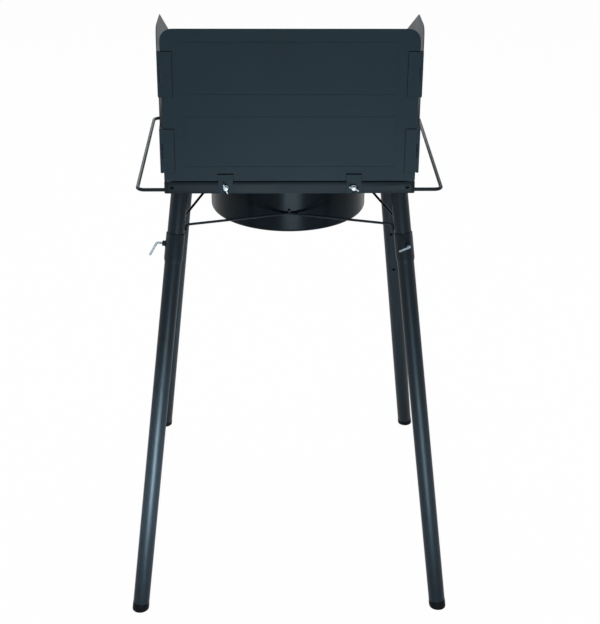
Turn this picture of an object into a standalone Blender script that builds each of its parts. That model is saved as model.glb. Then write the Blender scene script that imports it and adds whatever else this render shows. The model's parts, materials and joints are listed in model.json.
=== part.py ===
"""Free-standing single-burner gas table with a folding wind screen.

Metres, +Z up. The origin is on the floor, under the middle of the table. +Y is the cook's side, with the
control knob, and -Y is the side of the rear wind screen.
"""

import math

import bmesh
import bpy
from mathutils import Matrix, Quaternion, Vector

# Clearances
GAP = 0.0003
BORE_GAP = 0.0003

# Facets of round pieces
TUBE_SIDES = 16
DRUM_SIDES = 44
HOLE_SIDES = 12
SMALL_SIDES = 8
MIXER_SIDES = 20
KNUCKLE_SIDES = 10

# Table top, pressed from one sheet: a skirt, a raised rim and a sunken deck
TABLE_WIDTH = 0.406
TABLE_DEPTH = 0.380
SKIRT_BOTTOM = 0.736
SKIRT_HEIGHT = 0.020
TABLE_SHEET = 0.0015
TABLE_CORNER = 0.004
RIM_WIDTH = 0.011
RIM_BEND = 0.0025
DECK_DROP = 0.006
DECK_SLOPE = 0.002
DECK_CORNER = 0.012
ACCESSORY_HOLE_RADIUS = 0.00325
ACCESSORY_HOLE_INSET = 0.0125

# Legs: a stub under each corner of the table and a longer lower leg that plugs over it
LEG_TUBE_RADIUS = 0.0140
LEG_TUBE_WALL = 0.0012
LEG_CORNER_INSET_X = 0.024
LEG_CORNER_INSET_Y = 0.019
LEG_SPLAY_X = 0.0825
LEG_SPLAY_Y = 0.1375
SOCKET_TOP = 0.0732
SOCKET_WALL = 0.0012
SOCKET_LENGTH = 0.0440
SWAGE_LENGTH = 0.0060
STUB_END_GAP = 0.0010
BOSS_DROP = 0.0194
BOSS_RADIUS = 0.0045
BOSS_LENGTH = 0.0050
FOOT_HEIGHT = 0.0115
FOOT_FLANGE_PROUD = 0.0004
FOOT_CHAMFER = 0.0010
FOOT_PLUG_LENGTH = 0.014

# Bent-wire clamp screws
CLAMP_WIRE_RADIUS = 0.0019
CLAMP_REACH = 0.0090
CLAMP_ARM = 0.0250
CLAMP_BEND_RADIUS = 0.0045
CLAMP_BEND_ANGLE = math.radians(67)

# Brace wires and handles
BRACE_WIRE_RADIUS = 0.0021
BRACE_HEIGHT = 0.679
BRACE_END = 0.011
BRACE_BEND_RADIUS = 0.005
BRACE_MIDDLE_RADIUS = 0.035
HANDLE_ROD_RADIUS = 0.0030
HANDLE_REACH = 0.0445
HANDLE_BEND_RADIUS = 0.012
HANDLE_ARM_INSET = 0.0065
HANDLE_HEIGHT = 0.0042
HANDLE_END_INSIDE = 0.010

# Drum round the burner
DRUM_RADIUS = 0.1355
DRUM_SHEET = 0.0012
DRUM_BOTTOM = 0.644
DRUM_BOTTOM_BEND = 0.005
DRUM_FLANGE = 0.012
DRUM_AIR_OPENING = 0.058
DRUM_DECK_GAP = 0.0010
PEG_RADIUS = 0.0020
PEG_LENGTH = 0.0045
DRUM_BOLT_OFFSET = 0.0063
DRUM_BOLT_RADIUS = 0.0020
DRUM_BOLT_HEAD_RADIUS = 0.0038
DRUM_BOLT_HEAD_HEIGHT = 0.0022
DRUM_NUT_RADIUS = 0.0038
DRUM_NUT_HEIGHT = 0.0030

# Grate: flat bars on edge under round rods
GRATE_MARGIN = 0.0020
GRATE_BAR_HEIGHT = 0.014
GRATE_BAR_WIDTH = 0.0035
GRATE_ROD_RADIUS = 0.0030
GRATE_ROD_COUNT = 9
GRATE_WELD = 0.0010
GRATE_CROSS_BAR_HEIGHT = 0.009
GRATE_CROSS_BAR_OFFSET = 0.062
GRATE_CORNER = 0.010

# Burner
STRAP_WIDTH = 0.034
STRAP_SHEET = 0.0020
STRAP_RISE = 0.0095
STRAP_FOOT = 0.022
STRAP_PLATFORM = 0.060
BURNER_RADIUS = 0.052
BURNER_WALL = 0.0045
BURNER_HEIGHT = 0.047
BURNER_FOOT_RADIUS = 0.014
BURNER_FOOT_HEIGHT = 0.010
BURNER_SOCKET_RADIUS = 0.0185
BURNER_SOCKET_LENGTH = 0.012
BURNER_BOLT_RADIUS = 0.0030
BURNER_BOLT_HEAD = 0.0052
CAP_HEIGHT = 0.019
CAP_SKIRT_HEIGHT = 0.011
CAP_SKIRT_WALL = 0.006
CAP_BOSS_RADIUS = 0.0085
CAP_BOSS_LENGTH = 0.0130
CAP_BOLT_COVER = 0.0040
PORT_COUNT = 32
PORT_WIDTH = 0.0030
PORT_HEIGHT = 0.0055

# Gas train, all on one level axis that runs towards the cook
GAS_AXIS_HEIGHT = 0.684
MIXER_RADIUS = 0.0135
MIXER_WALL = 0.0028
MIXER_INSERT = 0.014
MIXER_BELL_RADIUS = 0.0205
MIXER_BELL_LENGTH = 0.022
MIXER_SET_BACK = 0.0367
MOUTH_PLATE = 0.0025
WINDOW_COUNT = 3
WINDOW_INNER = 0.0080
WINDOW_OUTER = 0.0165
WINDOW_ANGLE = math.radians(58)
SHUTTER_SHEET = 0.0012
SHUTTER_TAB_LENGTH = 0.010
SHUTTER_TAB_WIDTH = 0.006
JET_NECK_RADIUS = 0.0045
JET_NOZZLE_RADIUS = 0.0035
JET_HEX_RADIUS = 0.0068
JET_HEX_LENGTH = 0.0042
JET_REACH = 0.0065
VALVE_BODY_RADIUS = 0.0105
VALVE_BODY_LENGTH = 0.0185
VALVE_NECK_RADIUS = 0.0058
INLET_RADIUS = 0.0062
INLET_REACH = 0.034
INLET_HEX_RADIUS = 0.0090
STEM_RADIUS = 0.0030
STEM_INSIDE = 0.008
VALVE_COLLAR_RADIUS = 0.0080
NUT_RADIUS = 0.0090
NUT_LENGTH = 0.0040

# Control panel and knob
PANEL_WIDTH = 0.118
PANEL_BOTTOM = 0.654
PANEL_SHEET = 0.0015
PANEL_CORNER = 0.010
PANEL_SCREW_OFFSET = 0.044
PANEL_SCREW_RADIUS = 0.0020
PANEL_SCREW_HEAD = 0.0040
SKIRT_HOLE_HEIGHT = 0.0105
KNOB_RADIUS = 0.0195
KNOB_BASE = 0.0065
KNOB_GRIP_HEIGHT = 0.0125
KNOB_GRIP_WIDTH = 0.0110
KNOB_STAND_OFF = 0.0060
KNOB_SOCKET_DEPTH = 0.0100

# Rear wind screen
SCREEN_SHEET = 0.0010
SCREEN_SIDE_MARGIN = 0.0008
SCREEN_GAP = 0.0016
SCREEN_TOP = 1.0080
SCREEN_CORNER = 0.019
SCREEN_FLANGE = 0.010
SCREEN_FLANGE_MARGIN = 0.0115
RELIEF_WIDTH = 0.0030
RELIEF_HEIGHT = 0.0024
RELIEF_INSETS = (0.0122, 0.0060)
GROOVE_WIDTH = 0.0016
GROOVE_DEPTH = 0.0004
UPPER_GROOVE = (0.0332, 0.9033, 0.9870)
LOWER_GROOVE = (0.0339, 0.7830, 0.8665)

# Hinges of the side screens
HINGE_HEIGHT = 0.0730
HINGE_BOTTOMS = (0.7725, 0.8990)
LEAF_SHEET = 0.0011
LEAF_WIDTH = 0.0207
KNUCKLE_RADIUS = 0.0026
PIN_RADIUS = 0.0014
PIN_HEAD_RADIUS = 0.0022
PIN_HEAD_HEIGHT = 0.0008
PIN_PLAY = 0.0004

# Side wind screens
SIDE_TOP = 1.0100
SIDE_BOTTOM = 0.7725
SIDE_LENGTH = 0.335
SIDE_LEVEL_LENGTH = 0.083
SIDE_FRONT_HEIGHT = 0.135
SIDE_BACK_CORNER = 0.016
SIDE_FRONT_CORNER = 0.020
SIDE_RELIEF = 0.0135
SIDE_RELIEF_BEND = 0.004

# Latch clips and wing screws that hold the rear screen to the skirt
CLIP_OFFSET = 0.1035
CLIP_WIDTH = 0.0240
CLIP_SHEET = 0.0012
CLIP_TOP = 0.7685
CLIP_FOOT_GAP = 0.0008
CLIP_HOOK = 0.0050
CLIP_SLOT_HEIGHT = 0.0030
CLIP_SLOT_SPARE = 0.0015
CLIP_SCREW_SLOT_SPARE = 0.0040
WING_SHANK_RADIUS = 0.0025
WING_HUB_RADIUS = 0.0040
WING_HUB_LENGTH = 0.0070
WING_SPAN = 0.0170
WING_HEIGHT = 0.0085
WING_THICKNESS = 0.0018
WELD_NUT_RADIUS = 0.0046
WELD_NUT_LENGTH = 0.0040
WING_ANGLES = {"left": math.radians(73), "right": math.radians(28)}

# Clamp screws: the way each boss faces round its leg, and the turn of its bent arm
BOSS_AZIMUTHS = {
    "rear_left": math.radians(180),
    "rear_right": math.radians(-75),
    "front_left": math.radians(105),
    "front_right": math.radians(75),
}
CLAMP_TURNS = {
    "rear_left": 0.0,
    "rear_right": math.radians(-88),
    "front_left": 0.0,
    "front_right": 0.0,
}

# Levels and faces that several pieces share
SKIRT_TOP = SKIRT_BOTTOM + SKIRT_HEIGHT
DECK_TOP = SKIRT_TOP - DECK_DROP
DECK_UNDERSIDE = DECK_TOP - TABLE_SHEET
REAR_FACE = -TABLE_DEPTH / 2
FRONT_FACE = TABLE_DEPTH / 2
SIDE_FACE = TABLE_WIDTH / 2
SKIRT_HOLE_Z = SKIRT_BOTTOM + SKIRT_HOLE_HEIGHT
DECK_OPENING = DRUM_RADIUS + DRUM_DECK_GAP
DRUM_BOLT_CIRCLE = DRUM_RADIUS + DRUM_BOLT_OFFSET
DRUM_TOP = DECK_TOP + GAP + DRUM_SHEET
DRUM_FLOOR = DRUM_BOTTOM + DRUM_SHEET
PLATFORM_TOP = DRUM_FLOOR + GAP + STRAP_RISE + STRAP_SHEET
BURNER_BASE = PLATFORM_TOP + GAP
BURNER_RIM = BURNER_BASE + BURNER_HEIGHT
CAP_CROWN = BURNER_RIM + GAP + CAP_HEIGHT
SCREEN_WIDTH = TABLE_WIDTH - 2 * SCREEN_SIDE_MARGIN
SCREEN_BOTTOM = SKIRT_TOP + SCREEN_GAP
SCREEN_FRONT = REAR_FACE + SCREEN_SHEET
LEAF_FRONT = REAR_FACE - GAP
LEAF_REAR = LEAF_FRONT - LEAF_SHEET
PIN_Y = LEAF_REAR + KNUCKLE_RADIUS
PIN_X = SCREEN_WIDTH / 2 + KNUCKLE_RADIUS + 0.0004
CLIP_FRONT = REAR_FACE - GAP
CLIP_REAR = CLIP_FRONT - CLIP_SHEET
CLIP_BOTTOM = SKIRT_BOTTOM + CLIP_FOOT_GAP
LEG_LENGTH = math.sqrt(LEG_SPLAY_X**2 + LEG_SPLAY_Y**2 + SKIRT_BOTTOM**2)
SOCKET_RADIUS = LEG_TUBE_RADIUS + BORE_GAP + SOCKET_WALL
BOSS_LEVEL = SOCKET_TOP + BOSS_DROP
BOSS_FACE = SOCKET_RADIUS + BOSS_LENGTH
PANEL_BACK = FRONT_FACE - TABLE_SHEET - GAP - PANEL_SHEET
PANEL_FRONT = PANEL_BACK + PANEL_SHEET
BURNER_SOCKET_REACH = BURNER_RADIUS + BURNER_SOCKET_LENGTH
MIXER_START = BURNER_SOCKET_REACH - MIXER_INSERT
MIXER_END = PANEL_BACK - MIXER_SET_BACK
SHUTTER_BACK = MIXER_END + GAP
SHUTTER_FRONT = SHUTTER_BACK + SHUTTER_SHEET
JET_HEX_BACK = SHUTTER_FRONT + GAP
VALVE_BACK = JET_HEX_BACK + JET_HEX_LENGTH + GAP
VALVE_FRONT = VALVE_BACK + VALVE_BODY_LENGTH
NUT_BACK = PANEL_FRONT + GAP
NUT_FRONT = NUT_BACK + NUT_LENGTH
KNOB_BACK = FRONT_FACE + KNOB_STAND_OFF
STEM_BACK = VALVE_FRONT - STEM_INSIDE
STEM_LENGTH = KNOB_BACK + KNOB_SOCKET_DEPTH - STEM_BACK

CORNERS = {
    "rear_left": (-1, -1),
    "rear_right": (1, -1),
    "front_left": (-1, 1),
    "front_right": (1, 1),
}
SIDES = {"left": -1, "right": 1}

COLORS = {
    "powder_coat": ((0.030, 0.040, 0.048), 0.45, 0.0),
    "enamel": ((0.012, 0.015, 0.018), 0.18, 0.0),
    "cast_iron": ((0.035, 0.034, 0.034), 0.75, 0.6),
    "zinc": ((0.72, 0.74, 0.76), 0.30, 1.0),
    "brass": ((0.70, 0.52, 0.22), 0.32, 1.0),
    "steel": ((0.45, 0.46, 0.47), 0.40, 1.0),
    "black_plastic": ((0.012, 0.012, 0.013), 0.55, 0.0),
}


def clear_scene():
    """Removes whatever the file starts with."""
    for old in list(bpy.data.objects):
        bpy.data.objects.remove(old, do_unlink=True)


def finish_material(name):
    """One Principled material for each finish, made the first time that it is asked for."""
    found = bpy.data.materials.get(name)
    if found:
        return found
    color, roughness, metallic = COLORS[name]
    made = bpy.data.materials.new(name)
    made.use_nodes = True
    shader = made.node_tree.nodes["Principled BSDF"]
    shader.inputs["Base Color"].default_value = (*color, 1.0)
    shader.inputs["Roughness"].default_value = roughness
    shader.inputs["Metallic"].default_value = metallic
    return made


def add_mesh(name, bm, finish, location=(0, 0, 0)):
    """Turns a closed bmesh into a named object, with its faces outwards and its round stretches smooth."""
    bmesh.ops.recalc_face_normals(bm, faces=bm.faces)
    mesh = bpy.data.meshes.new(name)
    bm.to_mesh(mesh)
    bm.free()
    mesh.shade_smooth()
    mesh.set_sharp_from_angle(angle=math.radians(35))
    mesh.materials.append(finish_material(finish))
    made = bpy.data.objects.new(name, mesh)
    made.location = location
    bpy.context.collection.objects.link(made)
    return made


def add_empty(name, location, rotation=None):
    """A point that pieces hang from, such as a leg's axis."""
    made = bpy.data.objects.new(name, None)
    made.location = location
    if rotation is not None:
        made.rotation_mode = "QUATERNION"
        made.rotation_quaternion = rotation
    bpy.context.collection.objects.link(made)
    return made


def combine(piece, bm, operation):
    """Adds or cuts a helper solid, drawn in the piece's own coordinates."""
    count = sum(1 for m in piece.modifiers if m.type == "BOOLEAN")
    bmesh.ops.recalc_face_normals(bm, faces=bm.faces)
    mesh = bpy.data.meshes.new(f"{piece.name}_helper_{count}")
    bm.to_mesh(mesh)
    bm.free()
    helper = bpy.data.objects.new(mesh.name, mesh)
    helper.hide_render = True
    helper.display_type = "WIRE"
    helper.parent = piece
    bpy.context.collection.objects.link(helper)
    step = piece.modifiers.new(helper.name, "BOOLEAN")
    step.operation = operation
    step.solver = "EXACT"
    step.object = helper
    return helper


def cut(piece, bm):
    """Takes a helper solid away from a piece."""
    return combine(piece, bm, "DIFFERENCE")


def weld(piece, bm):
    """Joins a helper solid to a piece."""
    return combine(piece, bm, "UNION")


def loft(rings, cap_start=True, cap_end=True, closed=False):
    """Skins rings of equally many points. A closed loft joins its last ring to its first."""
    bm = bmesh.new()
    rows = [[bm.verts.new(p) for p in ring] for ring in rings]
    pairs = list(zip(rows, rows[1:]))
    if closed:
        pairs.append((rows[-1], rows[0]))
    for first, second in pairs:
        for i in range(len(first)):
            j = (i + 1) % len(first)
            bm.faces.new((first[i], first[j], second[j], second[i]))
    if cap_start and not closed:
        bm.faces.new(list(reversed(rows[0])))
    if cap_end and not closed:
        bm.faces.new(rows[-1])
    return bm


def prism(outline, axis, low, high):
    """Extrudes a closed outline along X, Y or Z. The outline holds the other two coordinates, in X, Y, Z order."""
    place = {
        "X": lambda a, b, h: (h, a, b),
        "Y": lambda a, b, h: (a, h, b),
        "Z": lambda a, b, h: (a, b, h),
    }[axis]
    return loft([[place(a, b, h) for a, b in outline] for h in (low, high)])


def box(x, y, z):
    """A block between two values on each axis."""
    outline = [(x[0], y[0]), (x[1], y[0]), (x[1], y[1]), (x[0], y[1])]
    return prism(outline, "Z", z[0], z[1])


def turned(profile, sides, closed=False):
    """Turns a profile of (radius, height) about Z. Open ends are capped; a closed one makes a hollow body."""
    rings = []
    for radius, height in profile:
        steps = [math.tau * i / sides for i in range(sides)]
        rings.append([(radius * math.cos(a), radius * math.sin(a), height) for a in steps])
    return loft(rings, closed=closed)


def rod(radius, low, high, sides=16):
    """A plain cylinder on Z."""
    return turned([(radius, low), (radius, high)], sides)


def hexagon(radius, low, high):
    """A hexagonal bar on Z."""
    return turned([(radius, low), (radius, high)], 6)


def aim(bm, direction, location=(0, 0, 0), spin=0.0):
    """Turns a shape that was drawn on Z to point along a direction, then moves it."""
    turn = Vector((0, 0, 1)).rotation_difference(Vector(direction))
    matrix = Matrix.Translation(location) @ turn.to_matrix().to_4x4() @ Matrix.Rotation(spin, 4, "Z")
    bmesh.ops.transform(bm, matrix=matrix, verts=bm.verts)
    return bm


def arc(centre, radius, start, end, steps):
    """Points of an arc in a plane, both ends included."""
    return [
        (
            centre[0] + radius * math.cos(start + (end - start) * i / steps),
            centre[1] + radius * math.sin(start + (end - start) * i / steps),
        )
        for i in range(steps + 1)
    ]


def rounded_rectangle(half_x, half_y, radius, steps=3):
    """Outline of a rectangle with round corners, about the origin."""
    points = []
    for k, (sx, sy) in enumerate(((1, 1), (-1, 1), (-1, -1), (1, -1))):
        centre = (sx * (half_x - radius), sy * (half_y - radius))
        points += arc(centre, radius, k * math.pi / 2, (k + 1) * math.pi / 2, steps)
    return points


def rounded_outline(corners, steps=4):
    """Outline through corners of (x, y, radius), each rounded by its own radius."""
    points = []
    count = len(corners)
    for i in range(count):
        here = Vector(corners[i][:2])
        radius = corners[i][2]
        back = (Vector(corners[i - 1][:2]) - here).normalized()
        ahead = (Vector(corners[(i + 1) % count][:2]) - here).normalized()
        if radius <= 0:
            points.append(tuple(here))
            continue
        half = back.angle(ahead) / 2
        centre = here + (back + ahead).normalized() * (radius / math.sin(half))
        start = here + back * (radius / math.tan(half)) - centre
        end = here + ahead * (radius / math.tan(half)) - centre
        sweep = start.angle_signed(end)
        for k in range(steps + 1):
            turned_by = Matrix.Rotation(-sweep * k / steps, 2)
            points.append(tuple(centre + turned_by @ start))
    return points


def bent_path(points, radii, steps=5):
    """Points along straight runs with a round bend at each inner corner."""
    path = [Vector(points[0])]
    for i in range(1, len(points) - 1):
        here = Vector(points[i])
        back = (Vector(points[i - 1]) - here).normalized()
        ahead = (Vector(points[i + 1]) - here).normalized()
        half = back.angle(ahead) / 2
        radius = radii[i - 1]
        centre = here + (back + ahead).normalized() * (radius / math.sin(half))
        start = here + back * (radius / math.tan(half)) - centre
        turn = start.rotation_difference(here + ahead * (radius / math.tan(half)) - centre)
        for k in range(steps + 1):
            path.append(centre + Quaternion().slerp(turn, k / steps) @ start)
    path.append(Vector(points[-1]))
    return path


def bent_rod(name, path, radius, finish, sides_quarter=1, location=(0, 0, 0)):
    """A round rod along a path, as a bevelled curve with closed ends."""
    curve = bpy.data.curves.new(name, "CURVE")
    curve.dimensions = "3D"
    curve.bevel_depth = radius
    curve.bevel_resolution = sides_quarter
    curve.use_fill_caps = True
    spline = curve.splines.new("POLY")
    spline.points.add(len(path) - 1)
    for point, place in zip(spline.points, path):
        point.co = (*place, 1.0)
    spline.use_smooth = True
    curve.materials.append(finish_material(finish))
    made = bpy.data.objects.new(name, curve)
    made.location = location
    bpy.context.collection.objects.link(made)
    return made


def bend_loss(radius, half_angle):
    """How far a round bend stays inside the sharp corner that it replaces."""
    return radius * (1 / math.sin(half_angle) - 1)


def table_ring(inset, radius, height):
    """One level of the table top's section, drawn in from its outline by inset."""
    outline = rounded_rectangle(SIDE_FACE - inset, FRONT_FACE - inset, radius)
    return [(x, y, height) for x, y in outline]


def make_table_frame():
    """The pressed table top, with its drum opening, its holes and the two nuts welded inside the rear skirt."""
    table = add_mesh("table_frame", table_shell(table_skin(), table_lining()), "powder_coat")
    cut(table, rod(DECK_OPENING, DECK_UNDERSIDE - 0.01, DECK_TOP + 0.01, DRUM_SIDES))
    for side in SIDES.values():
        nut = hexagon(WELD_NUT_RADIUS, -WELD_NUT_LENGTH, 0.0002)
        weld(table, aim(nut, (0, -1, 0), (side * CLIP_OFFSET, REAR_FACE + TABLE_SHEET, SKIRT_HOLE_Z)))
    cut_table_holes(table)
    return table


def table_skin():
    """Levels of the sheet's upper side, from the skirt's lower edge over the rim to the deck."""
    rings = [table_ring(0, TABLE_CORNER, SKIRT_BOTTOM)]
    for x, z in arc((RIM_BEND, SKIRT_TOP - RIM_BEND), RIM_BEND, math.pi, math.pi / 2, 3):
        rings.append(table_ring(x, TABLE_CORNER, z))
    rings.append(table_ring(RIM_WIDTH, DECK_CORNER, SKIRT_TOP))
    rings.append(table_ring(RIM_WIDTH + DECK_SLOPE, DECK_CORNER, DECK_TOP))
    return rings


def table_lining():
    """Levels of the sheet's under side, from the deck back to the skirt's lower edge."""
    t = TABLE_SHEET
    rings = [
        table_ring(RIM_WIDTH - t / 2, DECK_CORNER, DECK_UNDERSIDE),
        table_ring(RIM_WIDTH - DECK_SLOPE - t / 2, DECK_CORNER, SKIRT_TOP - t),
    ]
    for x, z in arc((RIM_BEND, SKIRT_TOP - RIM_BEND), RIM_BEND - t, math.pi / 2, math.pi, 2):
        rings.append(table_ring(x, TABLE_CORNER - t, z))
    rings.append(table_ring(t, TABLE_CORNER - t, SKIRT_BOTTOM))
    return rings


def table_shell(skin, lining):
    """Joins both sides of the sheet into one closed body."""
    bm = bmesh.new()
    rows = [[bm.verts.new(p) for p in ring] for ring in skin + lining]
    deck = len(skin) - 1
    pairs = [(i, i + 1) for i in range(len(rows) - 1) if i != deck]
    pairs.append((len(rows) - 1, 0))
    for a, b in pairs:
        for i in range(len(rows[a])):
            j = (i + 1) % len(rows[a])
            bm.faces.new((rows[a][i], rows[a][j], rows[b][j], rows[b][i]))
    bm.faces.new(rows[deck])
    bm.faces.new(list(reversed(rows[deck + 1])))
    return bm


def cut_table_holes(table):
    """Round holes through the skirt: accessory holes, wing screws, panel screws and handle rods; and the deck's bolts."""
    reach = 0.008
    for side in SIDES.values():
        x = side * (SIDE_FACE - ACCESSORY_HOLE_INSET)
        for face in (REAR_FACE, FRONT_FACE):
            hole = rod(ACCESSORY_HOLE_RADIUS, -reach / 2, reach / 2, HOLE_SIDES)
            cut(table, aim(hole, (0, 1, 0), (x, face, SKIRT_HOLE_Z)))
        hole = rod(WING_SHANK_RADIUS + BORE_GAP, -reach, reach, 12)
        cut(table, aim(hole, (0, 1, 0), (side * CLIP_OFFSET, REAR_FACE, SKIRT_HOLE_Z)))
        hole = rod(PANEL_SCREW_RADIUS + BORE_GAP, -reach / 2, reach / 2, 10)
        cut(table, aim(hole, (0, 1, 0), (side * PANEL_SCREW_OFFSET, FRONT_FACE, SKIRT_HOLE_Z)))
        for end in (-1, 1):
            y = end * (FRONT_FACE - HANDLE_ARM_INSET)
            hole = rod(HANDLE_ROD_RADIUS + BORE_GAP, -reach / 2, reach / 2, HOLE_SIDES)
            cut(table, aim(hole, (1, 0, 0), (side * SIDE_FACE, y, SKIRT_BOTTOM + HANDLE_HEIGHT)))
    for x, y in drum_bolt_places():
        hole = rod(DRUM_BOLT_RADIUS + BORE_GAP, DECK_UNDERSIDE - 0.003, DECK_TOP + 0.003, SMALL_SIDES)
        bmesh.ops.translate(hole, vec=(x, y, 0), verts=hole.verts)
        cut(table, hole)


def drum_bolt_places():
    """The four bolts of the drum's flange, on the diagonals of the table."""
    steps = [math.pi / 4 + k * math.pi / 2 for k in range(4)]
    return [(DRUM_BOLT_CIRCLE * math.cos(a), DRUM_BOLT_CIRCLE * math.sin(a)) for a in steps]


def leg_origin(corner):
    """Where a leg's axis crosses the level of the skirt's lower edge."""
    sx, sy = CORNERS[corner]
    return Vector((sx * (SIDE_FACE - LEG_CORNER_INSET_X), sy * (FRONT_FACE - LEG_CORNER_INSET_Y), SKIRT_BOTTOM))


def leg_direction(corner):
    """The way down along a leg."""
    sx, sy = CORNERS[corner]
    return Vector((sx * LEG_SPLAY_X, sy * LEG_SPLAY_Y, -SKIRT_BOTTOM)).normalized()


def leg_turn(corner):
    """The rotation that lays the local -Z axis along a leg."""
    return Vector((0, 0, -1)).rotation_difference(leg_direction(corner))


def slide_to_level(bm, verts, corner, level):
    """Moves points along a leg's axis until they lie at a height above the floor."""
    matrix = Matrix.Translation(leg_origin(corner)) @ leg_turn(corner).to_matrix().to_4x4()
    along = (matrix.to_3x3() @ Vector((0, 0, 1))).z
    for v in verts:
        v.co.z += (level - (matrix @ v.co).z) / along


def make_leg_stub(corner, axis):
    """The short tube welded under the deck, cut level at its top."""
    wall = LEG_TUBE_WALL
    outer = LEG_TUBE_RADIUS
    end = -(SOCKET_TOP + SOCKET_LENGTH - STUB_END_GAP)
    profile = [(outer, 0), (outer, end), (outer - wall, end), (outer - wall, 0)]
    bm = turned(profile, TUBE_SIDES, closed=True)
    top = [v for v in bm.verts if v.co.z > -0.001]
    slide_to_level(bm, top, corner, DECK_UNDERSIDE - GAP)
    stub = add_mesh(f"leg_stub_{corner}", bm, "powder_coat")
    stub.parent = axis
    return stub


def make_leg(corner, axis):
    """The lower leg: a tube with a wider socket pressed into its top and a threaded boss welded on the socket."""
    bore = LEG_TUBE_RADIUS + BORE_GAP
    top = -SOCKET_TOP
    shoulder = top - SOCKET_LENGTH
    neck = shoulder - SWAGE_LENGTH
    end = -(LEG_LENGTH - FOOT_HEIGHT - GAP)
    inner = LEG_TUBE_RADIUS - LEG_TUBE_WALL
    profile = [
        (SOCKET_RADIUS, top),
        (SOCKET_RADIUS, shoulder),
        (LEG_TUBE_RADIUS, neck),
        (LEG_TUBE_RADIUS, end),
        (inner, end),
        (inner, neck + GAP),
        (bore, shoulder + GAP),
        (bore, top),
    ]
    leg = add_mesh(f"leg_{corner}", turned(profile, TUBE_SIDES, closed=True), "powder_coat")
    leg.parent = axis
    out = boss_direction(corner)
    place = Vector((0, 0, -BOSS_LEVEL))
    boss = rod(BOSS_RADIUS, SOCKET_RADIUS - SOCKET_WALL * 0.7, BOSS_FACE, HOLE_SIDES)
    weld(leg, aim(boss, out, place))
    thread = rod(CLAMP_WIRE_RADIUS + BORE_GAP, 0.010, BOSS_FACE + 0.003, SMALL_SIDES)
    cut(leg, aim(thread, out, place))
    return leg


def boss_direction(corner):
    """The way a leg's boss faces, square to the leg, in the leg's own coordinates."""
    angle = BOSS_AZIMUTHS[corner]
    return Vector((math.cos(angle), math.sin(angle), 0))


def make_foot(corner, axis):
    """The plug in the end of a leg, with a flange whose sole lies flat on the floor."""
    top = -(LEG_LENGTH - FOOT_HEIGHT)
    plug = LEG_TUBE_RADIUS - LEG_TUBE_WALL - BORE_GAP
    flange = LEG_TUBE_RADIUS + FOOT_FLANGE_PROUD
    profile = [
        (plug - FOOT_CHAMFER, top + FOOT_PLUG_LENGTH),
        (plug, top + FOOT_PLUG_LENGTH - FOOT_CHAMFER),
        (plug, top),
        (flange, top),
        (flange, -LEG_LENGTH + FOOT_CHAMFER),
        (flange - FOOT_CHAMFER, -LEG_LENGTH),
    ]
    bm = turned(profile, TUBE_SIDES)
    bm.verts.ensure_lookup_table()
    slide_to_level(bm, bm.verts[-2 * TUBE_SIDES : -TUBE_SIDES], corner, FOOT_CHAMFER)
    slide_to_level(bm, bm.verts[-TUBE_SIDES:], corner, 0.0)
    foot = add_mesh(f"foot_{corner}", bm, "black_plastic")
    foot.parent = axis
    return foot


def make_clamp_screw(corner, axis):
    """A screw of bent wire through the boss. Its origin is on its own axis, which is its local X."""
    start = LEG_TUBE_RADIUS + GAP
    bend = BOSS_FACE + CLAMP_REACH
    arm = Vector((math.cos(CLAMP_BEND_ANGLE), 0, -math.sin(CLAMP_BEND_ANGLE))) * CLAMP_ARM
    path = bent_path(
        [(start, 0, 0), (bend, 0, 0), (bend + arm.x, 0, arm.z)], [CLAMP_BEND_RADIUS], 4
    )
    screw = bent_rod(f"clamp_screw_{corner}", path, CLAMP_WIRE_RADIUS, "zinc", 1)
    screw.parent = axis
    screw.location = (0, 0, -BOSS_LEVEL)
    screw.rotation_euler = (CLAMP_TURNS[corner], 0, BOSS_AZIMUTHS[corner])
    return screw


def make_legs():
    """All four legs, each with its stub, foot and clamp screw, hung from an empty on its axis."""
    for corner in CORNERS:
        axis = add_empty(f"axis_{corner}", leg_origin(corner), leg_turn(corner))
        make_leg_stub(corner, axis)
        make_leg(corner, axis)
        make_foot(corner, axis)
        make_clamp_screw(corner, axis)


def brace_contact(corner, middle):
    """Where a brace wire meets a stub: on the stub's skin, on the side that faces the wire's middle."""
    down = leg_direction(corner)
    start = leg_origin(corner)
    here = start + down * ((BRACE_HEIGHT - start.z) / down.z)
    towards = Vector(middle) - here
    towards -= down * towards.dot(down)
    return here + towards.normalized() * (LEG_TUBE_RADIUS + BRACE_WIRE_RADIUS + GAP)


def make_brace(name, first, second, facing):
    """A wire from stub to stub, bent in to lie against the drum, with its ends turned down along the stubs."""
    seat = DRUM_RADIUS + BRACE_WIRE_RADIUS + GAP
    middle = Vector((facing[0] * seat, facing[1] * seat, BRACE_HEIGHT))
    ends = [brace_contact(first, middle), brace_contact(second, middle)]
    half = (ends[0] - middle).angle(ends[1] - middle) / 2
    middle -= Vector((*facing, 0)) * bend_loss(BRACE_MIDDLE_RADIUS, half)
    ends = [brace_contact(first, middle), brace_contact(second, middle)]
    points = [
        ends[0] + leg_direction(first) * BRACE_END,
        ends[0],
        middle,
        ends[1],
        ends[1] + leg_direction(second) * BRACE_END,
    ]
    radii = [BRACE_BEND_RADIUS, BRACE_MIDDLE_RADIUS, BRACE_BEND_RADIUS]
    return bent_rod(name, bent_path(points, radii, 4), BRACE_WIRE_RADIUS, "powder_coat", 1)


def make_braces():
    """The three brace wires. The cook's side has none, because the mixer tube leaves the drum there."""
    make_brace("brace_rear", "rear_left", "rear_right", (0, -1))
    make_brace("brace_left", "rear_left", "front_left", (-1, 0))
    make_brace("brace_right", "rear_right", "front_right", (1, 0))


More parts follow.
